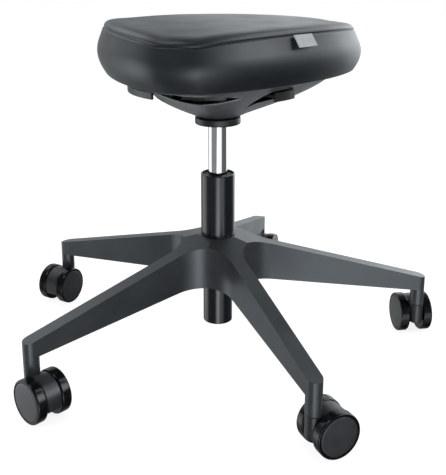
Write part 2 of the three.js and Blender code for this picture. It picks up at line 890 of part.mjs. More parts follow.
function makeHousing() {
  const socketBore = turned(
    [
      [0, housingLowHeight - cutMargin],
      [cylinderOuterRadius + touchGap, housingLowHeight - cutMargin],
      [cylinderTopRadius + touchGap, cylinderTopHeight],
      [cylinderTopRadius + touchGap, socketTopHeight + cutMargin],
      [0, socketTopHeight + cutMargin],
    ],
    columnSegments,
  );
  const inside = housingInside();
  const socket = disc(socketRadius, housingLowHeight, socketTopHeight, columnSegments);
  const post = disc(screwPostRadius, housingLowHeight, rimTopHeight, screwPostSegments);
  const pilot = disc(
    screwPilotRadius,
    rimTopHeight - screwPilotDepth,
    rimTopHeight + cutMargin,
    screwPostSegments,
  );
  let housing = housingShell()
    .subtract(openingCutter(frontLens(), seatFrontDegrees))
    .subtract(openingCutter(sideWindow(1), seatFrontDegrees + sideWindowDegrees))
    .subtract(openingCutter(sideWindow(-1), seatFrontDegrees - sideWindowDegrees))
    .add(socket)
    .add(pivotLugs());
  screwPositions().forEach((position) => {
    const foot = placed(post, position, 0).intersect(inside);
    housing = housing.add(foot).subtract(placed(pilot, position, 0));
  });
  addNode("mechanism_housing", housing.subtract(socketBore), "housing");
}

// Release lever

// A curved blade about the seat centre, with a knob on its thick end
function blade(outerRadius, degrees, low) {
  const outline = [];
  const centre = new THREE.Vector2(cushionCentreX, cushionCentreY);
  const at = (radius, angle) => outward(angle).multiplyScalar(radius).add(centre);
  for (let step = 0; step <= bladeSteps; step++) {
    const angle = degrees.from + ((degrees.to - degrees.from) * step) / bladeSteps;
    outline.push(at(outerRadius, angle));
  }
  for (let step = bladeSteps; step >= 0; step--) {
    const angle = degrees.from + ((degrees.to - degrees.from) * step) / bladeSteps;
    outline.push(at(outerRadius - bladeThickness, angle));
  }
  return { solid: prism(outline, low, bladeTopHeight), at };
}

function spoke(reach, degrees, halfWidth) {
  const corners = [[-halfWidth, 0], [-halfWidth, -reach], [halfWidth, -reach], [halfWidth, 0]];
  const outline = corners.map(([x, y]) => new THREE.Vector2(x, y));
  return prism(outline, leverPlateLow, leverPlateHigh).rotate([0, 0, degrees]);
}

function spokeReach(point) {
  return point.length() - bladeThickness / 2;
}

function makeLever() {
  const front = blade(frontBladeRadius, frontBladeDegrees, frontBladeLowHeight);
  const right = blade(rightBladeRadius, rightBladeDegrees, sideBladeLowHeight);
  const left = blade(leftBladeRadius, leftBladeDegrees, sideBladeLowHeight);
  const knobCentre = front.at(frontBladeRadius - bladeKnobRadius, frontBladeDegrees.to);
  const knob = disc(bladeKnobRadius, frontBladeLowHeight, bladeTopHeight, bladeKnobSegments);
  const ends = [
    { point: front.at(frontBladeRadius, seatFrontDegrees), solid: front.solid },
    { point: right.at(rightBladeRadius, rightSpokeDegrees), solid: right.solid },
    { point: left.at(leftBladeRadius, leftSpokeDegrees), solid: left.solid },
  ];
  const spokes = ends.map(({ point }) => {
    const degrees = THREE.MathUtils.radToDeg(Math.atan2(point.x, -point.y));
    return spoke(spokeReach(point), degrees, leverSpokeHalfWidth);
  });
  const plate = disc(leverPlateRadius, leverPlateLow, leverPlateHigh, leverSegments);
  const barrel = disc(
    leverBarrelRadius,
    -leverBarrelHalfLength,
    leverBarrelHalfLength,
    leverSegments,
  )
    .rotate([0, 90, 0])
    .translate([0, -leverPivotAhead, pivotAxisHeight])
    .rotate([0, 0, seatFrontDegrees]);
  const bore = pivotBore(pivotPinRadius + slidingGap).rotate([0, 0, seatFrontDegrees]);
  const lever = joined([plate, barrel, placed(knob, knobCentre, 0), ...spokes])
    .add(front.solid)
    .add(right.solid)
    .add(left.solid)
    .subtract(bore);
  addNode("release_lever", lever, "plastic");
  const pinHalf = leverBarrelHalfLength + touchGap + lugThickness + pivotPinOverhang;
  const pin = disc(pivotPinRadius, -pinHalf, pinHalf, pivotPinSegments)
    .rotate([0, 90, 0])
    .translate([0, -leverPivotAhead, pivotAxisHeight])
    .rotate([0, 0, seatFrontDegrees]);
  addNode("lever_pivot_pin", pin, "steel");
  const pinTop = leverPlateLow - touchGap;
  const valve = disc(valvePinRadius, pinTop - valvePinLength, pinTop, valvePinSegments);
  addNode("valve_pin", valve, "steel");
}

// Castors, made with the stem on Z and the trail along +Y

function castorHoodOutline() {
  const outline = [];
  const inner = castorHoodRadius - castorHoodThickness;
  const sweep = castorHoodHighDegrees - castorHoodLowDegrees;
  const point = (radius, step) => {
    const angle = radians(castorHoodLowDegrees + (sweep * step) / castorHoodSteps);
    return new THREE.Vector2(
      castorTrail + radius * Math.cos(angle),
      wheelRadius + radius * Math.sin(angle),
    );
  };
  for (let step = 0; step <= castorHoodSteps; step++) {
    outline.push(point(castorHoodRadius, step));
  }
  for (let step = castorHoodSteps; step >= 0; step--) {
    outline.push(point(inner, step));
  }
  return outline;
}

// A prism over an outline in the plane of trail and height, centred across
function uprightPrism(outline, halfWidth) {
  return prism(outline, -halfWidth, halfWidth).rotate([90, 0, 0]).rotate([0, 0, 90]);
}

function castorBody() {
  const nose = turned(
    [
      [0, castorNoseLowHeight],
      [castorNoseRadius - castorNoseChamfer, castorNoseLowHeight],
      [castorNoseRadius, castorNoseLowHeight + castorNoseChamfer],
      [castorNoseRadius, postBottomHeight - touchGap],
      [0, postBottomHeight - touchGap],
    ],
    castorSegments,
  );
  const hood = uprightPrism(castorHoodOutline(), castorHoodHalfWidth);
  const webOutline = castorHoodOutline();
  webOutline.splice(castorHoodSteps + 1);
  webOutline.push(new THREE.Vector2(0, castorNoseLowHeight + castorNoseChamfer));
  webOutline.push(new THREE.Vector2(castorTrail, wheelRadius - castorBossRadius));
  const web = uprightPrism(webOutline, castorWebHalfWidth);
  const boss = disc(castorBossRadius, -castorHoodHalfWidth, castorHoodHalfWidth, castorSegments)
    .rotate([0, 90, 0])
    .translate([0, castorTrail, wheelRadius]);
  const postClearance = disc(
    armHalfWidth + touchGap + touchGap,
    postBottomHeight - touchGap,
    postBottomHeight + wheelRadius,
    castorSegments,
  );
  const stemHole = turned(
    [
      [0, stemLowHeight - touchGap],
      [stemRadius + touchGap, stemLowHeight - touchGap],
      [stemRadius + touchGap, stemCollarLow() - touchGap],
      [stemCollarRadius + touchGap, stemCollarLow() - touchGap],
      [stemCollarRadius + touchGap, postBottomHeight + cutMargin],
      [0, postBottomHeight + cutMargin],
    ],
    castorSegments,
  );
  const axleHole = axleCylinder(axleRadius + slidingGap, castorNoseRadius + cutMargin);
  return joined([nose, hood, web, boss])
    .subtract(postClearance)
    .subtract(stemHole)
    .subtract(axleHole);
}

function axleCylinder(radius, half) {
  return disc(radius, -half, half, stemSegments)
    .rotate([0, 90, 0])
    .translate([0, castorTrail, wheelRadius]);
}

function stemCollarLow() {
  return postBottomHeight - touchGap - stemCollarThickness;
}

function castorStem() {
  return turned(
    [
      [0, stemLowHeight],
      [stemRadius - stemChamfer, stemLowHeight],
      [stemRadius, stemLowHeight + stemChamfer],
      [stemRadius, stemCollarLow()],
      [stemCollarRadius, stemCollarLow()],
      [stemCollarRadius, stemCollarLow() + stemCollarThickness],
      [stemRadius, stemCollarLow() + stemCollarThickness],
      [stemRadius, stemHighHeight - stemChamfer],
      [stemRadius - stemChamfer, stemHighHeight],
      [0, stemHighHeight],
    ],
    stemSegments,
  );
}

// A wheel along Z with its outer face up; flat facets are as far from the axis as the tread
function wheelBody() {
  const facetShare = 1 / Math.cos(Math.PI / wheelSegments);
  const tread = wheelRadius * facetShare;
  const edge = (wheelRadius - wheelEdgeChamfer) * facetShare;
  const half = wheelWidth / 2;
  const bore = axleRadius + slidingGap;
  const recess = wheelCapRadius + touchGap;
  const wheel = turned(
    [
      [bore, -half],
      [edge, -half],
      [tread, -half + wheelEdgeChamfer],
      [tread, half - wheelEdgeChamfer],
      [edge, half],
      [recess, half],
      [recess, half - wheelHubDepth],
      [bore, half - wheelHubDepth],
      [bore, -half],
    ],
    wheelSegments,
  );
  return wheel.rotate([0, 0, 180 / wheelSegments]);
}

function wheelCap() {
  const low = wheelWidth / 2 - wheelHubDepth + touchGap;
  const high = low + wheelCapDepth;
  const shoulder = wheelCapRadius - wheelEdgeChamfer;
  return turned(
    [
      [0, low],
      [wheelCapRadius, low],
      [wheelCapRadius, high - wheelCapDome],
      [shoulder, high],
      [0, high + wheelCapDome],
    ],
    wheelSegments,
  );
}

// A wheel piece moved from Z to the axle, on the left or the right of the trail
function onAxle(solid, sideSign) {
  return solid
    .rotate([0, sideSign * 90, 0])
    .translate([sideSign * wheelCentreOffset, castorTrail, wheelRadius]);
}

function makeCastors() {
  const body = castorBody();
  const stem = castorStem();
  const axleHalf = wheelCentreOffset + wheelWidth / 2 - wheelHubDepth - axleEndGap + touchGap;
  const axle = axleCylinder(axleRadius, axleHalf);
  const wheel = wheelBody();
  const cap = wheelCap();
  for (let index = 0; index < armCount; index++) {
    const post = compass(armDegrees(index)).multiplyScalar(postCentreRadius);
    const turn = -castorTrailDegrees[index];
    const prefix = "castor_" + (index + 1) + "_";
    addNode(prefix + "body", placed(body, post, turn), "hood");
    addNode(prefix + "stem", placed(stem, post, turn), "steel");
    addNode(prefix + "axle", placed(axle, post, turn), "steel");
    for (const [side, sideSign] of [["left", -1], ["right", 1]]) {
      addNode(prefix + "wheel_" + side, placed(onAxle(wheel, sideSign), post, turn), "tread");
      addNode(prefix + "cap_" + side, placed(onAxle(cap, sideSign), post, turn), "cap");
    }
  }
}

// The part's origin is the centre of its bounding box, at floor height
function centreOnFloor() {
  const bounds = new THREE.Box3().setFromObject(group);
  const centre = bounds.getCenter(new THREE.Vector3());
  for (const mesh of group.children) {
    mesh.geometry.translate(-centre.x, -centre.y, -bounds.min.z);
  }
}

makeBase();
makeGuideTube();
makeThrustBearing();
makePistonRod();
makeGasCylinder();
makeCollar();
makeHousing();
makeSeatPan();
makePanScrews();
makeCushion();
makeLabel();
makeLever();
makeCastors();
centreOnFloor();

export default group;
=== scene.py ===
"""Looks of the perch stool: a trefoil seat on a gas column, a star base and twin-wheel castors.

Every length in the classes is in millimetres, in a working frame whose Z axis is the column. A
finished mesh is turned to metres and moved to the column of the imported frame.
"""

import json
import logging
import math
from dataclasses import dataclass, field
from enum import Enum
from typing import Callable, Optional, Sequence

import bmesh
import bpy
from mathutils import Euler, Matrix, Vector
from mathutils.bvhtree import BVHTree


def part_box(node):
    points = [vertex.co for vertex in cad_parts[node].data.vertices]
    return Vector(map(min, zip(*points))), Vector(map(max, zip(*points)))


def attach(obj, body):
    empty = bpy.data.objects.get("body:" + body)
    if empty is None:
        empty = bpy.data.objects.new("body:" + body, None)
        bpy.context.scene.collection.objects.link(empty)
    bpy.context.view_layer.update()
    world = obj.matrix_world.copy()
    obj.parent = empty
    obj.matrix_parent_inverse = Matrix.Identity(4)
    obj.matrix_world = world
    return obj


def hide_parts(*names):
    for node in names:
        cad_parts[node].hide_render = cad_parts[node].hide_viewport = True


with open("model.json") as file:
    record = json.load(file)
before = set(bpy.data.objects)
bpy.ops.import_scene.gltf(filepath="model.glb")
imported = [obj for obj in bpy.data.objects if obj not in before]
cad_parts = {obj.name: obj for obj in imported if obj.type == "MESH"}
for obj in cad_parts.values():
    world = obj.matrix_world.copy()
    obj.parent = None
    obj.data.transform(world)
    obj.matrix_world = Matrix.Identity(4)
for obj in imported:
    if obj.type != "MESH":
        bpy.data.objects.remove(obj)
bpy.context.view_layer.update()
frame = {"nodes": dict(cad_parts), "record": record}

LOG = logging.getLogger("perch_stool")
MILLIMETRE = 0.001
FRONT_DEGREES = -13.9
ARMS = 5
ARM_STEP = 72.0

Mesh = bmesh.types.BMesh
Socket = bpy.types.NodeSocket
Point = tuple[float, float]
Span = tuple[float, float, float, float]
Ring = Callable[[float], Vector]


class Side(Enum):
    """The two wheels of a castor, with the sign of their place along the axle."""

    LEFT = -1
    RIGHT = 1


# Colour and node helpers


def linear(code: str) -> tuple[float, float, float, float]:
    """Turns an sRGB hex colour to linear light.

    Args:
        code: Six hex digits.

    Returns:
        Red, green, blue and an alpha of one.
    """
    channels = []
    for start in (0, 2, 4):
        value = int(code[start:start + 2], 16) / 255
        channels.append(value / 12.92 if value <= 0.04045 else ((value + 0.055) / 1.055) ** 2.4)
    return channels[0], channels[1], channels[2], 1.0


class Nodes:
    """A node tree that is filled anew, with a call for each kind of node."""

    def __init__(self, tree: bpy.types.NodeTree) -> None:
        """Takes over a tree and clears it."""
        self.tree = tree
        tree.nodes.clear()

    def add(self, kind: str, inputs: Optional[dict] = None, **settings: str) -> bpy.types.Node:
        """Adds a node with its settings, its input values and its links.

        Args:
            kind: The node's type name without its first word.
            inputs: Values by socket name or index, or output sockets that are linked in.
            settings: Values of the node's own properties.

        Returns:
            The new node.
        """
        node = self.tree.nodes.new(f"ShaderNode{kind}")
        for key, value in settings.items():
            setattr(node, key, value)
        for key, value in (inputs or {}).items():
            if isinstance(value, Socket):
                self.tree.links.new(value, node.inputs[key])
            else:
                node.inputs[key].default_value = value
        return node

    def calc(self, operation: str, *values: object) -> Socket:
        """Returns the result of a sum with numbers or sockets."""
        return self.add("Math", dict(enumerate(values)), operation=operation).outputs[0]

    def vector(self, operation: str, inputs: dict) -> bpy.types.Node:
        """Adds a sum with vectors or colours."""
        return self.add("VectorMath", inputs, operation=operation)

    def noise(self, place: Socket, size_mm: float, detail: float, output: str = "Fac") -> Socket:
        """Returns a noise whose features have a size in millimetres."""
        inputs = {"Vector": place, "Scale": 1.0 / (size_mm * MILLIMETRE), "Detail": detail}
        return self.add("TexNoise", inputs).outputs[output]

    def span(self, value: Socket, span: Span, **settings: str) -> Socket:
        """Spreads a value over a new range, held at both ends.

        Args:
            value: The value.
            span: Where the value starts and ends, and the results there.
            settings: Values of the node's own properties.

        Returns:
            The result.
        """
        keys = ("From Min", "From Max", "To Min", "To Max")
        inputs = {"Value": value, **dict(zip(keys, span))}
        return self.add("MapRange", inputs, **settings).outputs[0]

    def ramp(self, value: Socket, stops: Sequence[tuple[float, str]]) -> Socket:
        """Turns a value to a colour.

        Args:
            value: The value, from nought to one.
            stops: Positions and hex colours, in order.

        Returns:
            The colour of the ramp at the value.
        """
        ramp = self.add("ValToRGB", {"Fac": value})
        elements = ramp.color_ramp.elements
        for index, (position, code) in enumerate(stops):
            element = elements[index] if index < len(elements) else elements.new(position)
            element.position = position
            element.color = linear(code)
        return ramp.outputs["Color"]

    def mix(self, share: object, first: object, second: object, **settings: str) -> Socket:
        """Returns the mix of two colours."""
        inputs = {0: share, 6: first, 7: second}
        return self.add("Mix", inputs, data_type="RGBA", **settings).outputs[2]

    def either(self, share: Socket, first: Socket, second: Socket) -> Socket:
        """Returns the mix of two shaders."""
        return self.add("MixShader", {0: share, 1: first, 2: second}).outputs[0]

    def lit(self, kind: str, colour: object, strength: float) -> Socket:
        """Returns a shader that gives off light."""
        return self.add(kind, {"Color": colour, "Strength": strength}).outputs[0]


# Finishes


@dataclass(frozen=True)
class Finish:
    """A surface finish whose detail comes from noise on the piece's own coordinates."""

    name: str
    colour: str
    variation: str
    roughness: float
    roughness_swing: float = 0.05
    metallic: float = 0.0
    grain_mm: float = 1.0
    grain_depth_mm: float = 0.02
    grain_strength: float = 0.3
    cloud_mm: float = 60.0
    coat: float = 0.0
    coat_roughness: float = 0.1
    sheen: float = 0.0
    specular: float = 0.5
    # Colour of sharp convex edges: partly worn coat, partly a painted highlight line along the
    # edges
    edge_wear_and_highlight: Optional[str] = None
    cloud_low: float = 0.3
    cloud_high: float = 0.7
    # Pointiness over which the edge colour (wear and painted highlight) comes in
    wear_and_highlight_points: Span = (0.54, 0.6, 0.0, 0.8)

    def material(self) -> bpy.types.Material:
        """Makes the material on the first call.

        Returns:
            The material, the same on every call.
        """
        found = bpy.data.materials.get(self.name)
        if found:
            return found
        made = bpy.data.materials.new(self.name)
        made.use_nodes = True
        nodes = Nodes(made.node_tree)
        place = nodes.add("TexCoord").outputs["Object"]
        cloud = nodes.noise(place, self.cloud_mm, 3.0)
        least, most = self.roughness - self.roughness_swing, self.roughness + self.roughness_swing
        bump = nodes.add("Bump", {
            "Height": self.height(nodes, place),
            "Strength": self.grain_strength,
            "Distance": self.grain_depth_mm * MILLIMETRE,
        })
        shader = nodes.add("BsdfPrincipled", {
            "Base Color": self.base_colour(nodes, cloud),
            "Roughness": nodes.span(cloud, (self.cloud_low, self.cloud_high, least, most)),
            "Normal": bump.outputs[0],
            "Metallic": self.metallic,
            "Coat Weight": self.coat,
            "Coat Roughness": self.coat_roughness,
            "Sheen Weight": self.sheen,
            "Specular IOR Level": self.specular,
        })
        nodes.add("OutputMaterial", {"Surface": shader.outputs[0]})
        return made

    def height(self, nodes: Nodes, place: Socket) -> Socket:
        """Returns the height pattern of the surface, from nought to one."""
        return nodes.noise(place, self.grain_mm, 2.0)

    def base_colour(self, nodes: Nodes, cloud: Socket) -> Socket:
        """Mixes the colour with its drift, and with lighter convex edges where the finish has
        them: partly worn coat, partly a painted highlight along the edges.

        Args:
            nodes: The material's nodes.
            cloud: A slow noise from nought to one.

        Returns:
            The colour.
        """
        stops = [(self.cloud_low, self.colour), (self.cloud_high, self.variation)]
        drift = nodes.ramp(cloud, stops)
        if self.edge_wear_and_highlight is None:
            return drift
        # Lighter colour at sharp convex edges by pointiness: partly wear, partly a painted
        # highlight line
        pointed = nodes.add("NewGeometry").outputs["Pointiness"]
        return nodes.mix(nodes.span(pointed, self.wear_and_highlight_points), drift, linear(self.edge_wear_and_highlight))


@dataclass(frozen=True)
class HairlineFinish(Finish):
    """A turned metal, whose fine lines run round its axis."""

    line_mm: float = 0.5
    line_stretch: float = 0.02

    def height(self, nodes: Nodes, place: Socket) -> Socket:
        """Draws noise out round the Z axis into fine lines.

        Args:
            nodes: The material's nodes.
            place: The coordinates of the patterns.

        Returns:
            The height, from nought to one.
        """
        stretch = (self.line_stretch, self.line_stretch, 1.0)
        mapping = nodes.add("Mapping", {"Vector": place, "Scale": stretch})
        return nodes.noise(mapping.outputs[0], self.line_mm, 2.0)


@dataclass(frozen=True)
class LeatherFinish(Finish):
    """Imitation leather: a coated fabric embossed with a fine pebble and drawn in at its seam."""

    pucker_count: float = 190.0
    pucker_depth_mm: float = 0.12
    # Painted shade in the drawn-in seam crease, near black
    painted_crease_shade: str = "020202"
    wander_share: float = 6.0
    wander_metres: float = 0.0012
    pebble_softness: float = 0.6

    def seam(self, nodes: Nodes) -> Socket:
        """Returns the nearness to the seam, which the mesh carries."""
        return nodes.add("Attribute", attribute_name="seam").outputs["Fac"]

    def base_colour(self, nodes: Nodes, cloud: Socket) -> Socket:
        """Returns the colour of the cover, darkened with painted shade in the drawn-in seam
        crease.
        """
        plain = super().base_colour(nodes, cloud)
        # The seam's nearness darkens the colour: painted shade in the crease
        return nodes.mix(self.seam(nodes), plain, linear(self.painted_crease_shade))

    def height(self, nodes: Nodes, place: Socket) -> Socket:
        """Adds the small puckers beside the seam to the pebble of the embossing.

        Args:
            nodes: The material's nodes.
            place: The coordinates of the patterns.

        Returns:
            The height, about nought to one.
        """
        wander = nodes.noise(place, self.grain_mm * self.wander_share, 2.0, "Color")
        inputs = {0: wander, 1: (self.wander_metres,) * 3, 2: place}
        pebble = nodes.add("TexVoronoi", {
            "Vector": nodes.vector("MULTIPLY_ADD", inputs).outputs[0],
            "Scale": 1.0 / (self.grain_mm * MILLIMETRE),
            "Smoothness": self.pebble_softness,
        }, feature="SMOOTH_F1").outputs["Distance"]
        along = nodes.add("UVMap", uv_map="seam_uv").outputs[0]
        turn = nodes.add("SeparateXYZ", {0: along}).outputs[0]
        wave = nodes.calc("SINE", nodes.calc("MULTIPLY", turn, self.pucker_count * 2 * math.pi))
        pucker = nodes.calc("MULTIPLY", wave, self.seam(nodes))
        depth = self.pucker_depth_mm / self.grain_depth_mm / 2
        return nodes.calc("MULTIPLY_ADD", pucker, depth, pebble)


@dataclass(frozen=True)
class WovenFinish(Finish):
    """A woven tape: warp and weft threads on the label's own map."""

    thread_mm: float = 0.7
    width_mm: float = 36.0
    length_mm: float = 17.8

    def height(self, nodes: Nodes, place: Socket) -> Socket:
        """Crosses two waves to the over and under of a plain weave.

        Args:
            nodes: The material's nodes.
            place: Not used here, because the weave has a map of its own.

        Returns:
            The height, from nought to one.
        """
        cloth = nodes.add("UVMap", uv_map="weave_uv").outputs[0]
        sides = zip(nodes.add("SeparateXYZ", {0: cloth}).outputs, (self.width_mm, self.length_mm))
        waves = [
            nodes.calc("SINE", nodes.calc("MULTIPLY", side, size / self.thread_mm * math.pi))
            for side, size in sides
        ]
        return nodes.calc("MULTIPLY_ADD", nodes.calc("MULTIPLY", *waves), 0.5, 0.5)


FINISHES: dict[str, Finish] = {
    # Cast aluminium with a satin powder coat: an even anthracite with a faint orange peel
    "base_paint": Finish(
        "powder_coated_cast_aluminium", "404346", "474a4d", 0.38, 0.04, metallic=0.6,
        grain_mm=1.6, grain_depth_mm=0.03, cloud_mm=45,
    ),
    # The housing has the same coat on a thinner casting
    "housing_grey": Finish(
        "powder_coated_die_casting", "424548", "494c50", 0.4, 0.04, metallic=0.3,
        # Its pale edges are partly worn coat and partly a painted highlight
        grain_mm=1.4, grain_depth_mm=0.03, cloud_mm=35, edge_wear_and_highlight="7c7f83",
    ),
    # Steel tube in blue-black enamel, smooth and deep
    "tube_gloss": Finish(
        "enamelled_steel_tube", "0b0e13", "0f1217", 0.2, 0.03, specular=0.26,
        grain_mm=4.0, grain_depth_mm=0.01, grain_strength=0.2, cloud_mm=30, coat=0.35,
    ),
    # Hard chrome on ground steel: a mirror with faint grinding lines round it
    "chrome": HairlineFinish(
        "hard_chromed_steel", "d2d2d2", "dadada", 0.1, 0.02, metallic=1.0,
        grain_depth_mm=0.004, grain_strength=0.15, cloud_mm=20,
    ),
    # Zinc-plated turned steel: soft grey with turning lines
    "steel": HairlineFinish(
        "zinc_plated_steel", "8c9094", "9a9ea3", 0.32, 0.06, metallic=1.0,
        grain_depth_mm=0.01, grain_strength=0.25, cloud_mm=6,
    ),
    # Black ABS from a fine spark-eroded mould
    "black_plastic": Finish(
        "moulded_black_abs", "121315", "17181a", 0.4,
        grain_mm=0.7, grain_strength=0.35, cloud_mm=25,
    ),
    # Black glass-filled nylon of the seat pan, duller than the ABS
    "pan_plastic": Finish(
        "glass_filled_black_nylon", "1a1b1d", "212225", 0.45, 0.06,
        # Its pale edges paint the highlight line on the pan's lip, with a little wear
        grain_depth_mm=0.03, grain_strength=0.4, cloud_mm=40, edge_wear_and_highlight="8a8d90",
    ),
    # Acetal of the guide bush: waxy and plain
    "bush_plastic": Finish(
        "acetal_bush", "161719", "1b1c1e", 0.5, 0.04,
        grain_mm=0.8, grain_depth_mm=0.01, cloud_mm=15,
    ),
    # Rubber of the seals and the bumper: dull, a little dusty
    "rubber": Finish(
        "moulded_rubber", "101010", "191919", 0.75, 0.08,
        grain_mm=0.6, grain_strength=0.5, cloud_mm=8,
    ),
    # Polyurethane tread: glossy, with the shallow flow marks of its mould
    "tread": Finish(
        "glossy_polyurethane_tread", "06070a", "0a0b0e", 0.16, 0.04,
        grain_mm=5.0, grain_strength=0.2, cloud_mm=14, specular=0.3,
    ),
    # Satin nylon of the wheel covers
    "wheel_cap": Finish(
        "satin_nylon_wheel_cover", "282a2d", "2e3033", 0.34, 0.04,
        grain_mm=0.8, grain_depth_mm=0.015, cloud_mm=20,
    ),
    # Grey-black nylon of the castor hood
    "hood_grey": Finish(
        "moulded_nylon_hood", "1f2023", "26272a", 0.36,
        grain_mm=0.9, grain_strength=0.35, cloud_mm=18,
    ),
    # Imitation leather: a coated knit with a fine pebble, which gives a broad soft shine
    "upholstery": LeatherFinish(
        "black_imitation_leather", "12171b", "161b1f", 0.42, 0.04,
        grain_mm=1.1, grain_depth_mm=0.04, cloud_mm=55, specular=0.6,
    ),
    # Woven polyester tape; its threads are drawn twice as coarse as real ones, so that they show
    "label_cloth": WovenFinish(
        "woven_polyester_tape", "8d9298", "9ca1a6", 0.85,
        grain_depth_mm=0.15, grain_strength=0.8, cloud_mm=9, sheen=0.3,
    ),
}


# Mesh helpers


def column_axis() -> Vector:
    """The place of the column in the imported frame, in metres."""
    low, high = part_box("guide_tube")
    return Vector(((low.x + high.x) / 2, (low.y + high.y) / 2, 0.0))


def outward(degrees: float, radius: float = 1.0) -> Vector:
    """A plan vector at an azimuth from -Y towards +X."""
    angle = math.radians(degrees)
    return Vector((math.sin(angle) * radius, -math.cos(angle) * radius, 0.0))


def compass(degrees: float, radius: float = 1.0) -> Vector:
    """A plan vector at a compass angle, clockwise from +Y."""
    angle = math.radians(degrees)
    return Vector((math.sin(angle) * radius, math.cos(angle) * radius, 0.0))


def turning(degrees: float, axis: str = "Z") -> Matrix:
    """A turn about an axis through the origin."""
    return Matrix.Rotation(math.radians(degrees), 4, axis)


def shift(x: float, y: float, z: float) -> Matrix:
    """A move along the three axes."""
    return Matrix.Translation((x, y, z))


def everything(made: Mesh) -> list:
    """All vertices, edges and faces of a mesh."""
    return [*made.verts, *made.edges, *made.faces]


def turned(
    profile: Sequence[tuple[float, float, float]], segments: int, steps: int = 4
) -> Mesh:
    """Turns a profile with rounded corners about Z into a closed body.

    Args:
        profile: Radii, heights and the radius of each corner's round, in order. An open end has
            to lie on the axis.
        segments: The number of steps round the axis.
        steps: The number of steps of each corner's round.

    Returns:
        A closed mesh with its faces outwards.
    """
    made = bmesh.new()
    points = [made.verts.new((radius, 0.0, z)) for radius, z in rounded(profile, steps)]
    edges = [made.edges.new(pair) for pair in zip(points, points[1:])]
    if profile[0][0] > 0:
        edges.append(made.edges.new((points[-1], points[0])))
    bmesh.ops.spin(
        made, geom=points + edges, axis=(0, 0, 1), cent=(0, 0, 0),
        steps=segments, angle=2 * math.pi, use_merge=True,
    )
    bmesh.ops.remove_doubles(made, verts=made.verts, dist=0.0005)
    bmesh.ops.recalc_face_normals(made, faces=made.faces)
    return made


def rounded(profile: Sequence[tuple[float, float, float]], steps: int = 4) -> list[Point]:
    """Rounds the corners of a profile.

    Args:
        profile: Radii, heights and the radius of each corner's round.
        steps: The number of steps of each round.

    Returns:
        The points, with an arc in place of each rounded corner.
    """
    result: list[Point] = []
    for index, (x, y, radius) in enumerate(profile):
        here = Vector((x, y))
        if radius <= 0 or index in (0, len(profile) - 1):
            result.append((x, y))
            continue
        before = Vector(profile[index - 1][:2]) - here
        after = Vector(profile[index + 1][:2]) - here
        start = here + before.normalized() * min(radius, before.length * 0.49)
        end = here + after.normalized() * min(radius, after.length * 0.49)
        for step in range(steps + 1):
            t = step / steps
            point = start * (1 - t) ** 2 + here * 2 * t * (1 - t) + end * t ** 2
            result.append((point.x, point.y))
    return result


def added(target: Mesh, other: Mesh, *moves: Matrix) -> None:
    """Adds copies of another mesh, and frees the other.

    Args:
        target: The mesh that grows.
        other: The mesh that is copied.
        moves: The place of each copy. Without any, one copy stays where it is.
    """
    for move in moves or (Matrix(),):
        shared = bpy.data.meshes.new("shared")
        copied = other.copy()
        copied.transform(move)
        copied.to_mesh(shared)
        copied.free()
        target.from_mesh(shared)
        bpy.data.meshes.remove(shared)
    other.free()


def bevelled(
    made: Mesh,
    width: float,
    least_degrees: float = 25,
    segments: int = 3,
    spared: Callable[[bmesh.types.BMEdge], bool] = lambda edge: False,
) -> None:
    """Rounds the edges that are sharper than an angle.

    Args:
        made: The mesh, which is changed.
        width: The distance of the round from the edge.
        least_degrees: The angle between faces from which an edge is rounded.
        segments: The number of faces across the round.
        spared: Tells which edges stay sharp.
    """
    least = math.radians(least_degrees)
    edges = [
        e for e in made.edges
        if len(e.link_faces) == 2 and e.calc_face_angle(0) > least and not spared(e)
    ]
    bmesh.ops.bevel(
        made, geom=edges, offset=width, offset_type="OFFSET", affect="EDGES",
        segments=segments, profile=0.5, material=-1, clamp_overlap=True,
    )


def run_out(made: Mesh, vec: Sequence[float]) -> None:
    """Runs the flat faces of a mesh out to a solid.

    Args:
        made: The mesh, which is changed.
        vec: How far its far side lies from its faces.
    """
    grown = bmesh.ops.extrude_face_region(made, geom=list(made.faces))["geom"]
    ends = [g for g in grown if isinstance(g, bmesh.types.BMVert)]
    bmesh.ops.translate(made, verts=ends, vec=vec)


def sliced(made: Mesh, place: Sequence[float], normal: Sequence[float]) -> None:
    """Cuts off what lies beyond a plane and closes the cut.

    Args:
        made: The mesh, which is changed.
        place: A point of the plane.
        normal: The direction that is cut off.
    """
    result = bmesh.ops.bisect_plane(
        made, geom=everything(made), plane_co=place, plane_no=Vector(normal).normalized(),
        clear_outer=True,
    )
    edges = [g for g in result["geom_cut"] if isinstance(g, bmesh.types.BMEdge)]
    bmesh.ops.edgeloop_fill(made, edges=edges)


def smoothed(made: Mesh) -> None:
    """Evens a mesh out by one step."""
    bmesh.ops.smooth_vert(
        made, verts=made.verts, factor=0.5, use_axis_x=True, use_axis_y=True, use_axis_z=True
    )


def rod(radius: float, depth: float, segments: int, move: Matrix) -> Mesh:
    """Makes a cylinder about its own middle, and moves it.

    Args:
        radius: Its radius.
        depth: Its length along Z.
        segments: The number of its sides.
        move: Its place.

    Returns:
        The cylinder.
    """
    made = bmesh.new()
    bmesh.ops.create_cone(
        made, cap_ends=True, segments=segments, radius1=radius, radius2=radius, depth=depth,
        matrix=move,
    )
    return made


def block(size: tuple[float, float, float], edge_round: float, move: Matrix = Matrix()) -> Mesh:
    """Makes a box with rounded edges about its own middle, and moves it.

    Args:
        size: Its three sides.
        edge_round: The width of the round.
        move: Its place.

    Returns:
        The box.
    """
    made = bmesh.new()
    bmesh.ops.create_cube(made, size=1.0, matrix=move @ Matrix.Diagonal((*size, 1.0)))
    bevelled(made, edge_round)
    return made


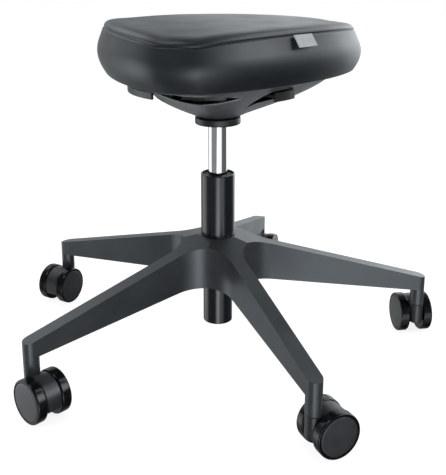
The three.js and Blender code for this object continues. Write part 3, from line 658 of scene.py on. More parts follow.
def ring_stack(rings: Sequence[Ring], segments: int) -> Mesh:
    """Bridges rings from the first to the last and closes both ends.

    Args:
        rings: Functions that give a ring's point at an azimuth in degrees.
        segments: The number of points in each ring.

    Returns:
        A closed mesh with its faces outwards. The vertices keep the order of the rings.
    """
    made = bmesh.new()
    loops: list[list[bmesh.types.BMEdge]] = []
    for ring in rings:
        circle = bmesh.ops.create_circle(made, segments=segments, radius=1.0)["verts"]
        for vertex in circle:
            vertex.co = ring(math.degrees(math.atan2(vertex.co.x, -vertex.co.y)))
        inside = set(circle)
        loops.append(list({e for v in circle for e in v.link_edges if e.other_vert(v) in inside}))
    for low, high in zip(loops, loops[1:]):
        bmesh.ops.bridge_loops(made, edges=low + high)
    for loop in (loops[0], loops[-1]):
        bmesh.ops.edgeloop_fill(made, edges=loop)
    bmesh.ops.recalc_face_normals(made, faces=made.faces)
    return made


def placed(made: Mesh, name: str) -> bpy.types.Object:
    """Puts a mesh in the scene as an object, and frees it.

    Args:
        made: The mesh.
        name: The object's name.

    Returns:
        The object.
    """
    mesh = bpy.data.meshes.new(name)
    made.to_mesh(mesh)
    made.free()
    thing = bpy.data.objects.new(name, mesh)
    bpy.context.scene.collection.objects.link(thing)
    return thing


def evaluated(thing: bpy.types.Object) -> Mesh:
    """Applies the modifiers of an object, and removes the object.

    Args:
        thing: The object.

    Returns:
        Its mesh.
    """
    graph = bpy.context.evaluated_depsgraph_get()
    result = bmesh.new()
    result.from_mesh(thing.evaluated_get(graph).to_mesh())
    bpy.data.objects.remove(thing)
    return result


def cut(body: Mesh, cutters: Sequence[Mesh]) -> Mesh:
    """Cuts shapes out of a body, and frees them all.

    Args:
        body: The closed body.
        cutters: Closed meshes.

    Returns:
        The cut body.
    """
    subject = placed(body, "subject")
    tools = [placed(cutter, "cutter") for cutter in cutters]
    for tool in tools:
        step = subject.modifiers.new("cut", "BOOLEAN")
        step.operation = "DIFFERENCE"
        step.solver = "EXACT"
        step.object = tool
    bpy.context.view_layer.update()
    result = evaluated(subject)
    for tool in tools:
        bpy.data.objects.remove(tool)
    return result


def cad_copy(node: str) -> Mesh:
    """Copies a CAD node's mesh into the working frame, with its flat faces merged.

    Args:
        node: The node's name.

    Returns:
        The mesh, in millimetres.
    """
    made = bmesh.new()
    made.from_mesh(frame["nodes"][node].data)
    made.transform(Matrix.Scale(1 / MILLIMETRE, 4) @ Matrix.Translation(-column_axis()))
    bmesh.ops.remove_doubles(made, verts=made.verts, dist=0.002)
    bmesh.ops.dissolve_limit(
        made, angle_limit=math.radians(1.0), verts=made.verts, edges=made.edges,
        use_dissolve_boundaries=False,
    )
    return made


def piece(
    made: Mesh,
    node: str,
    body: str,
    slot: str,
    smooth_degrees: float = 180.0,
    weighted: bool = True,
) -> bpy.types.Object:
    """Turns a working mesh into a finished piece of the scene.

    Args:
        made: The mesh, in millimetres of the working frame. It is freed.
        node: The CAD node that it stands for, and the first word of its name.
        body: The CAD body that it rides on.
        slot: The record's material slot, which gives its finish.
        smooth_degrees: Edges sharper than this stay sharp.
        weighted: Whether large faces keep their own direction at rounded edges.

    Returns:
        The piece.
    """
    made.transform(Matrix.Translation(column_axis()) @ Matrix.Scale(MILLIMETRE, 4))
    thing = placed(made, f"{node}_looks")
    mesh = thing.data
    mesh.shade_smooth()
    if smooth_degrees < 180:
        mesh.set_sharp_from_angle(angle=math.radians(smooth_degrees))
    mesh.materials.append(FINISHES[slot].material())
    if weighted:
        normals = thing.modifiers.new("weighted_normals", "WEIGHTED_NORMAL")
        normals.mode = "FACE_AREA"
        normals.keep_sharp = True
    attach(thing, body)
    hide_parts(node)
    LOG.info("%s: %d faces", thing.name, len(mesh.polygons))
    return thing


# Sub-assemblies


@dataclass
class Trefoil:
    """A plan outline of constant width, eased at its three corners."""

    radius: float
    lobe: float
    centre: Point
    easing_share: float = 0.082

    def point(self, degrees: float, offset: float = 0.0, kept: float = 1.0) -> Vector:
        """Returns the outline's point whose outward direction has an azimuth.

        Args:
            degrees: The azimuth of the outward direction.
            offset: How far outside the outline the point lies.
            kept: The share of the outline's size that is kept.

        Returns:
            The point in the plan, at height nought.
        """
        phase = math.radians(3 * (degrees - FRONT_DEGREES))
        easing = self.lobe * self.easing_share
        lobed = self.lobe * math.cos(phase) - easing * math.cos(2 * phase)
        slip = (6 * easing * math.sin(2 * phase) - 3 * self.lobe * math.sin(phase)) * kept
        normal = outward(degrees)
        across = Vector((-normal.y, normal.x, 0.0))
        support = (self.radius + offset + lobed) * kept
        return Vector((*self.centre, 0.0)) + normal * support + across * slip


@dataclass
class StarBase:
    """Five sloping arms in one casting, each with a round post for a castor."""

    first_arm: float = 14.74
    post_centre: float = 309.0
    half_width: float = 10.5
    fillet: float = 48.6
    top_at_inner: float = 163.6
    top_inner_radius: float = 60.0
    top_at_post: float = 100.05
    under_at_inner: float = 101.5
    under_inner_radius: float = 87.0
    under_at_post: float = 77.6
    hub_top: float = 172.5
    bore: float = 25.3
    post_bottom: float = 53.0
    post_socket: float = 5.4
    post_socket_depth: float = 20.0
    post_cut_below_top: float = 8.0
    edge_round: float = 1.4
    edge_least_degrees: float = 14.0

    @property
    def under_slope(self) -> float:
        """The fall of the underside along an arm."""
        fall = self.under_at_inner - self.under_at_post
        return fall / (self.post_centre - self.under_inner_radius)

    def all_round(self) -> list[Matrix]:
        """The turns that bring a shape along +Y to each of the arms."""
        return [turning(-self.first_arm - ARM_STEP * index) for index in range(ARMS)]

    def arm_outline(self, made: Mesh) -> None:
        """Draws the plan outline of one arm and its share of the hub, with the arm along +Y.

        Args:
            made: The mesh, which gets the outline's edges.
        """
        half_step = ARM_STEP / 2
        reach = (self.fillet + self.half_width) / math.sin(math.radians(half_step))
        centre = compass(half_step, reach)
        valley = compass(half_step, reach - self.fillet)

        def arc(
            vertex: bmesh.types.BMVert, about: Sequence[float], degrees: float, steps: int
        ) -> bmesh.types.BMVert:
            """Turns a vertex about a place, and returns the arc's end."""
            last = bmesh.ops.spin(
                made, geom=[vertex], cent=about, axis=(0, 0, 1),
                angle=math.radians(degrees), steps=steps,
            )["geom_last"]
            return next(g for g in last if isinstance(g, bmesh.types.BMVert))

        def line(vertex: bmesh.types.BMVert, place: Sequence[float]) -> bmesh.types.BMVert:
            """Draws a straight edge, and returns its end."""
            end = made.verts.new(place)
            made.edges.new((vertex, end))
            return end

        start = made.verts.new((-self.half_width, self.post_centre, 0))
        tip = arc(start, (0, self.post_centre, 0), -180, 18)
        side = line(tip, (self.half_width, centre.y, 0))
        low = arc(side, centre, 90 - half_step, 14)
        inner = line(low, compass(half_step, self.bore))
        inner = arc(inner, (0, 0, 0), ARM_STEP, 12)
        high = line(inner, (-valley.x, valley.y, 0))
        other = arc(high, (-centre.x, centre.y, 0), 90 - half_step, 14)
        made.edges.new((other, start))
        bmesh.ops.remove_doubles(made, verts=made.verts, dist=0.001)

    def arm(self) -> Mesh:
        """Makes one arm with its share of the hub.

        Returns:
            The arm, open where the next arm joins.
        """
        made = bmesh.new()
        self.arm_outline(made)
        bmesh.ops.contextual_create(made, geom=list(made.edges))
        run_out(made, (0, 0, self.hub_top))
        fall = self.top_at_inner - self.top_at_post
        top_slope = fall / (self.post_centre - self.top_inner_radius)
        sliced(made, (0, self.top_inner_radius, self.top_at_inner), (0, top_slope, 1))
        under = (0, self.under_inner_radius, self.under_at_inner)
        sliced(made, under, (0, -self.under_slope, -1))
        bmesh.ops.recalc_face_normals(made, faces=made.faces)
        planes = [compass(90 + turn) for turn in (ARM_STEP / 2, -ARM_STEP / 2)]
        seams = [
            f for f in made.faces
            if any(all(abs(v.co.dot(plane)) < 0.01 for v in f.verts) for plane in planes)
        ]
        bmesh.ops.delete(made, geom=seams, context="FACES")
        return made

    def post(self) -> Mesh:
        """Makes the post of one arm, whose top follows the arm's underside.

        Returns:
            The closed post, in the place of an arm along +Y.
        """
        socket_top = self.post_bottom + self.post_socket_depth
        blank_top = self.top_at_post - self.post_cut_below_top
        made = turned([
            (0, socket_top, 0), (self.post_socket, socket_top, 0),
            (self.post_socket, self.post_bottom, 0.4), (self.half_width, self.post_bottom, 0.8),
            (self.half_width, blank_top, 0), (0, blank_top, 0),
        ], 36)
        made.transform(shift(0, self.post_centre, 0))
        sliced(made, (0, self.under_inner_radius, self.under_at_inner), (0, self.under_slope, 1))
        bmesh.ops.recalc_face_normals(made, faces=made.faces)
        return made

    def on_post(self, edge: bmesh.types.BMEdge) -> bool:
        """Tells whether an edge of the underside lies on the outer outline of a post.

        Args:
            edge: An edge of the star.

        Returns:
            True where it does.
        """
        middle = (edge.verts[0].co + edge.verts[1].co) / 2
        if middle.z > self.under_at_post + 4:
            return False
        for index in range(ARMS):
            centre = compass(self.first_arm + ARM_STEP * index, self.post_centre).to_2d()
            gap = middle.to_2d() - centre
            if gap.length < self.half_width + 0.5 and gap.dot(centre) > -self.half_width * 20:
                return True
        return False

    def build(self) -> None:
        """Makes the star base."""
        star = bmesh.new()
        added(star, self.arm(), *self.all_round())
        bmesh.ops.remove_doubles(star, verts=star.verts, dist=0.01)
        bmesh.ops.recalc_face_normals(star, faces=star.faces)
        least = self.edge_least_degrees
        bevelled(star, self.edge_round, least_degrees=least, segments=4, spared=self.on_post)
        added(star, self.post(), *self.all_round())
        piece(star, "base_star", "base", "base_paint", smooth_degrees=35)


@dataclass
class GasColumn:
    """The outer tube, its guide bush, the gas cylinder and the collar under the seat."""

    tube_radius: float = 25.0
    tube_foot_radius: float = 22.0
    tube_foot: float = 35.3
    taper_low: float = 105.0
    taper_high: float = 160.0
    tube_top: float = 267.1
    tube_bore: float = 23.0
    tube_bore_low: float = 165.0
    foot_bore: float = 19.6
    foot_bore_high: float = 157.0
    foot_bore_low: float = 38.0
    rod_hole: float = 5.4
    bush_low: float = 185.0
    bush_high: float = 264.5
    bush_bore: float = 14.25
    cylinder_radius: float = 14.0
    cylinder_bore: float = 12.2
    cylinder_low: float = 125.0
    cylinder_taper: float = 352.0
    cylinder_top_radius: float = 13.3
    cylinder_top: float = 379.0
    cylinder_roof: float = 371.0
    pin_bore: float = 3.65
    collar_radius: float = 33.1
    collar_low: float = 341.0
    collar_high: float = 351.3
    neck_radius: float = 26.0
    neck_top: float = 353.7
    segments: int = 96

    def build(self) -> None:
        """Makes the pieces of the column."""
        tube = [
            (self.rod_hole, self.tube_foot, 0), (self.tube_foot_radius, self.tube_foot, 1.2),
            (self.tube_foot_radius, self.taper_low, 3), (self.tube_radius, self.taper_high, 3),
            (self.tube_radius, self.tube_top, 1.3), (self.tube_bore, self.tube_top, 0.7),
            (self.tube_bore, self.tube_bore_low, 1), (self.foot_bore, self.foot_bore_high, 1),
            (self.foot_bore, self.foot_bore_low, 1), (self.rod_hole, self.foot_bore_low, 0),
        ]
        bush_radius = self.tube_bore - 0.3
        bush = [
            (self.bush_bore, self.bush_low, 0), (bush_radius, self.bush_low, 0.8),
            (bush_radius, self.bush_high, 0.8), (self.bush_bore, self.bush_high, 0.8),
            (self.bush_bore, self.bush_low + 1, 0),
        ]
        cylinder = [
            (self.cylinder_bore, self.cylinder_low, 0),
            (self.cylinder_radius, self.cylinder_low, 0.6),
            (self.cylinder_radius, self.cylinder_taper, 0),
            (self.cylinder_top_radius, self.cylinder_top, 0.8),
            (self.pin_bore, self.cylinder_top, 0.3), (self.pin_bore, self.cylinder_roof, 0),
            (self.cylinder_bore, self.cylinder_roof, 1),
            (self.cylinder_bore, self.cylinder_low + 1, 0),
        ]
        collar = [
            (self.bush_bore, self.collar_low, 0), (self.collar_radius, self.collar_low, 2.6),
            (self.collar_radius, self.collar_high, 1.8), (self.neck_radius, self.collar_high, 0.5),
            (self.neck_radius, self.neck_top, 0), (self.bush_bore, self.neck_top, 0),
            (self.bush_bore, self.collar_low + 1, 0),
        ]
        for profile, steps, node, body, slot in (
            (tube, 4, "guide_tube", "base", "tube_gloss"),
            (bush, 4, "guide_bush", "base", "bush_plastic"),
            (cylinder, 4, "gas_cylinder", "seat", "chrome"),
            (collar, 5, "flange_collar", "seat", "black_plastic"),
        ):
            piece(turned(profile, self.segments, steps), node, body, slot)


@dataclass
class Cushion:
    """The form of the cushion, and how far stuffing it moves its skin."""

    outline: Trefoil = field(
        default_factory=lambda: Trefoil(188.77, 23.26, (0.24, 27.54), 0.12)
    )
    seam: float = 471.9
    seam_wave: float = 4.03
    seam_second_wave: float = -1.3
    seam_depth: float = 1.7
    seam_lip: float = 0.12
    seam_foot_bulge: float = 1.2
    seam_half_height: float = 1.7
    crown: float = 491.6
    bottom: float = 410.3
    foot_offset: float = -8.8
    segments: int = 180
    rear_fuller_low: float = 4.1
    rear_drawn_in_high: float = 5.8
    rear_low_reach: float = 50.0
    rear_high_start: float = 32.0
    rear_high_reach: float = 30.0
    # The side's offset, height over the foot, share of the wave and share of the size
    side: tuple[Span, ...] = (
        (-8.8, 0.0, 0.0, 1.0), (-5.0, 1.0, 0.0, 1.0), (-2.2, 3.8, 0.02, 1.0),
        (3.9, 13.1, 0.1, 1.0), (7.6, 23.0, 0.14, 1.0), (8.5, 32.0, 0.2, 1.0),
        (7.6, 40.0, 0.42, 1.0), (5.5, 46.5, 0.6, 1.0), (2.9, 54.0, 0.85, 1.0),
    )
    # The shoulder's inset, height over the seam and share of the wave
    shoulder: tuple[tuple[float, float, float], ...] = (
        (0.6, 1.6, 1.0), (1.9, 3.8, 0.98), (4.8, 6.2, 0.93), (10.0, 8.1, 0.85),
        (19.0, 9.6, 0.72), (32.0, 10.7, 0.55),
    )
    voxel: float = 5.0
    start_inside: float = 3.0
    pressure: float = 4.0
    stiffness: float = 25.0
    cloth_frames: int = 20
    swell_limit: float = 5.0
    swell_most: float = 1.2
    swell_evened: int = 14
    held_height: float = 2.0
    held_fade: float = 10.0

    def wave(self, degrees: float) -> float:
        """Returns how far the seam dips at an azimuth."""
        phase = math.radians(3 * (degrees - FRONT_DEGREES))
        return self.seam_wave * math.cos(phase) + self.seam_second_wave * math.cos(2 * phase)

    def controls(self) -> list[Vector]:
        """Lists what the rings of the cushion run through, from the foot to the crown.

        Returns:
            Offset, height, share of the wave and share of the size of each.
        """
        keep = 1 / self.outline.radius
        side = [(offset, self.bottom + rise, *rest) for offset, rise, *rest in self.side]
        side.append((self.seam_foot_bulge, self.seam - self.seam_half_height, 1.0, 1.0))
        top = [
            (0.0, self.seam + rise, wave, 1 - inset * keep) for inset, rise, wave in self.shoulder
        ]
        inset, rise, wave = self.shoulder[-1]
        climb = self.crown - self.seam - rise
        for inward in (0.15, 0.3, 0.45, 0.6, 0.75, 0.87, 0.95, 0.99):
            kept = (1 - inset * keep) * (1 - inward)
            height = self.seam + rise + climb * (1 - (1 - inward) ** 2)
            top.append((0.0, height, wave * kept ** 3, kept))
        return [Vector(row) for row in (*side, *top)]

    def profile(self) -> list[tuple[float, float, float, float, float]]:
        """Runs smooth rings through the controls, and a drawn-in channel along the seam.

        Returns:
            Offset, height, shares of the wave and the size, and nearness to the seam of each.
        """
        controls = self.controls()
        last = len(controls) - 1
        seam_at = len(self.side)
        rows: list[tuple[float, float, float, float, float]] = []
        for index in range(last):
            a, b = controls[index], controls[index + 1]
            if index == seam_at:
                for share, near in ((0.0, 0.15), (0.3, 0.6), (0.5, 1.0), (0.7, 0.6)):
                    rows.append((*a.lerp(b, share), near))
                continue
            before, after = controls[max(index - 1, 0)], controls[min(index + 2, last)]
            steps = 3 if index < seam_at else 2
            for step in range(steps):
                t = step / steps
                point = 0.5 * (
                    2 * a + (b - before) * t + (2 * before - 5 * a + 4 * b - after) * t ** 2
                    + (3 * a - before - 3 * b + after) * t ** 3
                )
                rows.append((*point, 0.15 if index == seam_at + 1 and step == 0 else 0.0))
        rows.append((*controls[-1], 0.0))
        return rows

    def ring_at(self, offset: float, height: float, wave: float, kept: float) -> Ring:
        """Makes a ring of the cushion, whose rear is fuller below and drawn in above.

        Args:
            offset: How far outside the outline it lies.
            height: Its height without the seam's wave.
            wave: Its share of the wave.
            kept: Its share of the outline's size.

        Returns:
            The ring.
        """
        rise = height - self.bottom
        low = min(1.0, max(0.0, 1 - rise / self.rear_low_reach))
        high = min(1.0, max(0.0, (rise - self.rear_high_start) / self.rear_high_reach))

        def place(degrees: float) -> Vector:
            """The ring's point at an azimuth."""
            rear = (1 - math.cos(math.radians(degrees - FRONT_DEGREES))) / 2
            fuller = rear * (self.rear_fuller_low * low - self.rear_drawn_in_high * high)
            made = self.outline.point(degrees, offset + fuller, kept)
            return Vector((made.x, made.y, height - wave * self.wave(degrees)))

        return place

    def form(self) -> tuple[Mesh, list[float]]:
        """Makes the cushion before it is stuffed.

        Returns:
            The form, and each vertex's nearness to the seam.
        """
        foot = [
            (self.foot_offset, self.bottom, 0.0, share, 0.0)
            for share in (0.15, 0.4, 0.65, 0.85, 0.94)
        ]
        rows = foot + self.profile()
        made = ring_stack([self.ring_at(*row[:4]) for row in rows], self.segments)
        return made, [row[4] for row in rows for _ in range(self.segments)]

    def stuffed(self, form: Mesh) -> Mesh:
        """Swells a slightly smaller copy of the form with a cloth simulation.

        Args:
            form: The cushion's form in millimetres.

        Returns:
            The swollen skin, in millimetres, each point at most a few millimetres from its start.
        """
        smaller = form.copy()
        smaller.normal_update()
        for vertex in smaller.verts:
            vertex.co -= vertex.normal * self.start_inside
        smaller.transform(Matrix.Scale(MILLIMETRE, 4))
        thing = placed(smaller, "cushion_cloth")
        remesh = thing.modifiers.new("remesh", "REMESH")
        remesh.mode = "VOXEL"
        remesh.voxel_size = self.voxel * MILLIMETRE
        even = evaluated(thing)
        smoothed(even)
        start = [vertex.co.copy() for vertex in even.verts]
        thing = placed(even, "cushion_cloth")
        settings = thing.modifiers.new("cloth", "CLOTH").settings
        settings.use_pressure = True
        settings.uniform_pressure_force = self.pressure
        settings.effector_weights.gravity = 0.0
        settings.tension_stiffness = settings.compression_stiffness = self.stiffness
        scene = bpy.context.scene
        scene.frame_start, scene.frame_end = 1, self.cloth_frames
        for number in range(1, self.cloth_frames + 1):
            scene.frame_set(number)
        swollen = evaluated(thing)
        scene.frame_set(1)
        swollen.verts.ensure_lookup_table()
        limit = self.swell_limit * MILLIMETRE
        for vertex, origin in zip(swollen.verts, start):
            move = vertex.co - origin
            if move.length > limit:
                vertex.co = origin + move.normalized() * limit
        smoothed(swollen)
        bmesh.ops.subdivide_edges(
            swollen, edges=swollen.edges, cuts=1, smooth=1.0, use_grid_fill=True
        )
        swollen.transform(Matrix.Scale(1 / MILLIMETRE, 4))
        return swollen

    def settle(self, form: Mesh, skin: Mesh) -> None:
        """Moves the form's points with the swelling, except where it rests on the pan.

        Args:
            form: The cushion's form, which is changed.
            skin: The swollen skin, which started a little inside the form.
        """
        bmesh.ops.triangulate(skin, faces=skin.faces)
        tree = BVHTree.FromBMesh(skin)
        form.normal_update()
        form.verts.ensure_lookup_table()
        reaches = []
        for vertex in form.verts:
            place = tree.find_nearest(vertex.co)[0]
            reaches.append((place - vertex.co).dot(vertex.normal) + self.start_inside)
        usual = sorted(reaches)[len(reaches) // 2]
        swell = []
        for vertex, reach in zip(form.verts, reaches):
            over_pan = vertex.co.z - self.bottom - self.held_height
            free = min(1.0, max(0.0, over_pan / self.held_fade))
            swell.append(min(self.swell_most, max(-self.swell_most, reach - usual)) * free)
        neighbours = [[edge.other_vert(v).index for edge in v.link_edges] for v in form.verts]
        for _ in range(self.swell_evened):
            swell = [
                (amount + sum(swell[other] for other in around)) / (len(around) + 1)
                for amount, around in zip(swell, neighbours)
            ]
        normals = [v.normal.copy() for v in form.verts]
        for vertex, normal, amount in zip(form.verts, normals, swell):
            vertex.co += normal * amount

    def map_seam(self, form: Mesh, nearness: Sequence[float]) -> None:
        """Draws the seam in and gives the mesh what the leather's puckers and its painted seam
        shade follow.

        Args:
            form: The stuffed cushion, which is changed.
            nearness: Each vertex's nearness to the seam.
        """
        form.verts.ensure_lookup_table()
        form.normal_update()
        layer = form.verts.layers.float.new("seam")
        normals = [v.normal.copy() for v in form.verts]
        for vertex, near, normal in zip(form.verts, nearness, normals):
            lip = -self.seam_lip if near > 0 else 0.0
            vertex.co -= normal * self.seam_depth * (near if near > 0.3 else lip)
            vertex[layer] = near
        centre = Vector((*self.outline.centre, 0))
        maps = form.loops.layers.uv.new("seam_uv")
        for face in form.faces:
            turns = []
            for loop in face.loops:
                flat = loop.vert.co - centre
                turns.append(math.atan2(flat.x, -flat.y) / (2 * math.pi) + 0.5)
            wrap = max(turns) - min(turns) > 0.5
            for loop, turn in zip(face.loops, turns):
                loop[maps].uv = (turn + 1 if wrap and turn < 0.5 else turn, loop.vert.co.z / 100)

    def build(self) -> None:
        """Makes the cushion: its form, its swelling, its seam and its map."""
        form, nearness = self.form()
        skin = self.stuffed(form)
        self.settle(form, skin)
        skin.free()
        self.map_seam(form, nearness)
        cushion = piece(form, "cushion", "seat", "upholstery", weighted=False)
        smooth = cushion.modifiers.new("subdivision", "SUBSURF")
        smooth.levels = smooth.render_levels = 1


@dataclass
class Seat:
    """The cushion with its label, the pan, and the mechanism housing with its lever."""

    cushion: Cushion = field(default_factory=Cushion)
    rim_radius: float = 150.0
    rim_lobe: float = 24.0
    rim_behind: float = 28.0
    rim_top: float = 403.7
    pan_inset: float = -13.0
    pan_over_rim: float = 0.8
    pan_lift: float = 0.3
    housing_low: float = 354.0
    neck_radius: float = 33.5
    wall_rise: float = 4.4
    corner_bulge: float = 20.0
    side_bulge: float = 14.0
    window_turn: float = 70.0
    cutter_start: float = 25.0
    cutter_length: float = 135.0
    socket_bore: float = 14.3
    socket_radius: float = 22.0
    socket_top: float = 381.0
    post_length: float = 15.5
    post_radius: float = 7.0
    pilot_radius: float = 2.4
    pilot_depth: float = 12.0
    post_places: tuple[Point, ...] = ((41, 80), (-41, 80), (120, 115), (-120, 115))
    lug_size: tuple[float, float, float] = (4.0, 10.0, 36.0)
    lug_place: tuple[float, float, float] = (10.8, -25.0, 377.0)
    # The left blade of the lever stands a little further out and ends higher than its solid
    lever_centre: Point = (1.28, 27.69)
    blade_azimuths: Point = (-97.0, -42.0)
    blade_radius: float = 124.0
    blade_out: float = 4.0
    blade_lift: float = 3.2
    blade_middle: float = 386.0
    label_width: float = 36.0
    label_height: float = 17.8
    label_lean: float = 35.0
    label_azimuth: float = 44.4
    label_offset: float = 1.5
    label_over_seam: float = 5.0
    label_thickness: float = 0.7

    def rim(self, offset: float = 0.0) -> Trefoil:
        """Returns the outline of the housing's rim, or one further out."""
        centre = -outward(FRONT_DEGREES, self.rim_behind)
        return Trefoil(self.rim_radius + offset, self.rim_lobe, (centre.x, centre.y))

    def build_pan(self) -> None:
        """Makes the seat pan, a shallow dish under the cushion."""
        rim = self.rim(self.pan_over_rim)
        low = self.rim_top + self.pan_lift

        def ring(across: float, kept: float, rise: float) -> Ring:
            """A ring between the housing's rim and the edge of the pan."""

            def place(degrees: float) -> Vector:
                """The ring's point at an azimuth."""
                outer = self.cushion.outline.point(degrees, self.pan_inset, kept)
                return rim.point(degrees, 0, kept).lerp(outer, across) + Vector((0, 0, low + rise))

            return place

        # The share of the way from the rim to the edge, the share of the size, and the rise
        rows = (
            (0, 0.5, 0), (0, 1, 0), (0.04, 1, 0.1), (0.3, 1, 1.5), (0.65, 1, 3.3), (0.95, 1, 4.7),
            (0.99, 1, 5.0), (1, 1, 5.4), (0.995, 1, 5.8), (0.98, 1, 6.0), (1, 0.9, 6.0),
            (1, 0.5, 6.0),
        )
        pan = ring_stack([ring(*row) for row in rows], 144)
        piece(pan, "seat_pan", "seat", "pan_plastic", smooth_degrees=40)

    def housing_ring(self, share: float, lift: float = 0.0) -> Ring:
        """Makes a ring of the housing, which is fuller at its corners and its left side.

        Args:
            share: Its share of the way from the neck to the rim.
            lift: How far it is lifted, for the inner face.

        Returns:
            The ring.
        """
        rim = self.rim()
        height = self.housing_low + (self.rim_top - self.housing_low) * share

        def place(degrees: float) -> Vector:
            """The ring's point at an azimuth."""
            edge = rim.point(degrees)
            azimuth = math.degrees(math.atan2(edge.x, -edge.y))
            turn = math.radians(azimuth - FRONT_DEGREES)
            corner = (1 + math.cos(3 * turn)) / 2 * (1 - math.cos(turn)) / 1.5
            side = (1 - math.cos(3 * turn)) / 2 * min(1.0, 2 * (1 - math.cos(turn)))
            leftness = min(1.0, max(0.0, 0.5 - 0.6 * math.sin(turn)))
            fullness = self.corner_bulge * corner + self.side_bulge * side * leftness
            made = outward(azimuth, self.neck_radius).lerp(edge, share)
            made += outward(azimuth, fullness * 4 * share * (1 - share))
            return Vector((made.x, made.y, height + lift))

        return place

    def opening(self, outline: Sequence[Point], degrees: float) -> Mesh:
        """Returns a cutter with the outline of an opening, run outwards at an azimuth.

        Args:
            outline: Distances across and heights, in order.
            degrees: The azimuth that the opening faces.

        Returns:
            A closed prism.
        """
        made = bmesh.new()
        corners = [made.verts.new((x, -self.cutter_start, z)) for x, z in outline]
        for pair in zip(corners, corners[1:] + corners[:1]):
            made.edges.new(pair)
        bmesh.ops.contextual_create(made, geom=list(made.edges))
        run_out(made, (0, -self.cutter_length, 0))
        bmesh.ops.recalc_face_normals(made, faces=made.faces)
        made.transform(turning(degrees))
        return made

    def front_lens(self) -> list[Point]:
        """Draws the front opening, pointed at both ends and longer to the left.

        Returns:
            Distances across and heights, in order.
        """
        left, right, tip, top, bottom = -74.0, 52.0, 394.0, 402.4, 386.4
        steps = 32
        across = [left + (right - left) * i / steps for i in range(steps + 1)]
        full = [1 - (x / (left if x < 0 else right)) ** 2 for x in across]
        under = [(x, tip - (tip - bottom) * share) for x, share in zip(across, full)]
        over = [(x, tip + (top - tip) * share) for x, share in zip(across, full)][-2:0:-1]
        return under + over

    def side_window(self, sign: int) -> list[Point]:
        """Draws a side window with rounded corners.

        Args:
            sign: One for the right window, minus one for the left.

        Returns:
            Distances across and heights, in order.
        """
        corners = [
            (-16.0, 368.5, 2.0), (-15.0, 374.0, 3.0), (-10.0, 378.0, 4.0), (5.0, 380.5, 4.0),
            (25.0, 382.5, 2.0), (25.0, 399.8, 2.0), (-6.0, 399.3, 6.0), (-16.0, 396.5, 4.0),
            (-21.0, 392.0, 4.0), (-23.0, 386.0, 3.0), (-23.0, 380.0, 3.0), (-16.0, 368.5, 2.0),
        ]
        points = rounded([corners[-2], *corners], 3)[1:-1]
        unique = [
            p for i, p in enumerate(points)
            if i == 0 or (Vector(p) - Vector(points[i - 1])).length > 0.05
        ]
        if (Vector(unique[0]) - Vector(unique[-1])).length < 0.05:
            unique.pop()
        return [(sign * x, z) for x, z in unique]

    def build_housing(self) -> None:
        """Makes the mechanism housing with its socket, posts, lugs and three openings."""
        steps = 16
        inner_share = 1 - self.wall_rise / (self.rim_top - self.housing_low)
        outer = [self.housing_ring(step / steps) for step in range(steps + 1)]
        inner = [
            self.housing_ring(inner_share * step / steps, self.wall_rise)
            for step in range(steps, -1, -1)
        ]
        shell = cut(ring_stack(outer + inner, 144), [
            self.opening(self.front_lens(), FRONT_DEGREES),
            self.opening(self.side_window(1), FRONT_DEGREES + self.window_turn),
            self.opening(self.side_window(-1), FRONT_DEGREES - self.window_turn),
        ])
        bmesh.ops.remove_doubles(shell, verts=shell.verts, dist=0.01)
        bevelled(shell, 0.6, least_degrees=40, segments=2)
        low, foot_radius = self.housing_low, self.neck_radius - 0.6
        added(shell, turned([
            (self.socket_bore, low + 0.2, 0), (foot_radius, low + 0.2, 0.4),
            (foot_radius, low + 3.5, 0.4), (self.socket_radius, low + 5.0, 1.5),
            (self.socket_radius, self.socket_top, 1.0), (self.socket_bore, self.socket_top, 0.5),
            (self.socket_bore, low + 1, 0),
        ], 72))
        post = turned([
            (0, -self.post_length, 0), (self.post_radius, -self.post_length, 0),
            (self.post_radius, 0, 0.8), (self.pilot_radius, 0, 0),
            (self.pilot_radius, -self.pilot_depth, 0), (0, -self.pilot_depth, 0),
        ], 32)
        places = [outward(FRONT_DEGREES + turn, radius) for turn, radius in self.post_places]
        added(shell, post, *[shift(place.x, place.y, self.rim_top) for place in places])
        x, y, z = self.lug_place
        turn = turning(FRONT_DEGREES)
        added(shell, block(self.lug_size, 1.0), turn @ shift(-x, y, z), turn @ shift(x, y, z))
        piece(shell, "mechanism_housing", "seat", "housing_grey", smooth_degrees=50)

    def build_lever(self) -> None:
        """Makes the release lever from its solid, with moulded edges."""
        lever = cad_copy("release_lever")
        centre = Vector((*self.lever_centre, 0))
        start, end = self.blade_azimuths
        for vertex in lever.verts:
            flat = vertex.co - centre
            azimuth = math.degrees(math.atan2(flat.x, -flat.y))
            if start < azimuth < end and math.hypot(flat.x, flat.y) > self.blade_radius:
                vertex.co += outward(azimuth, self.blade_out)
                vertex.co.z += self.blade_lift if vertex.co.z < self.blade_middle else 0.0
        bevelled(lever, 0.7, least_degrees=30, segments=3)
        piece(lever, "release_lever", "lever", "black_plastic", smooth_degrees=50)

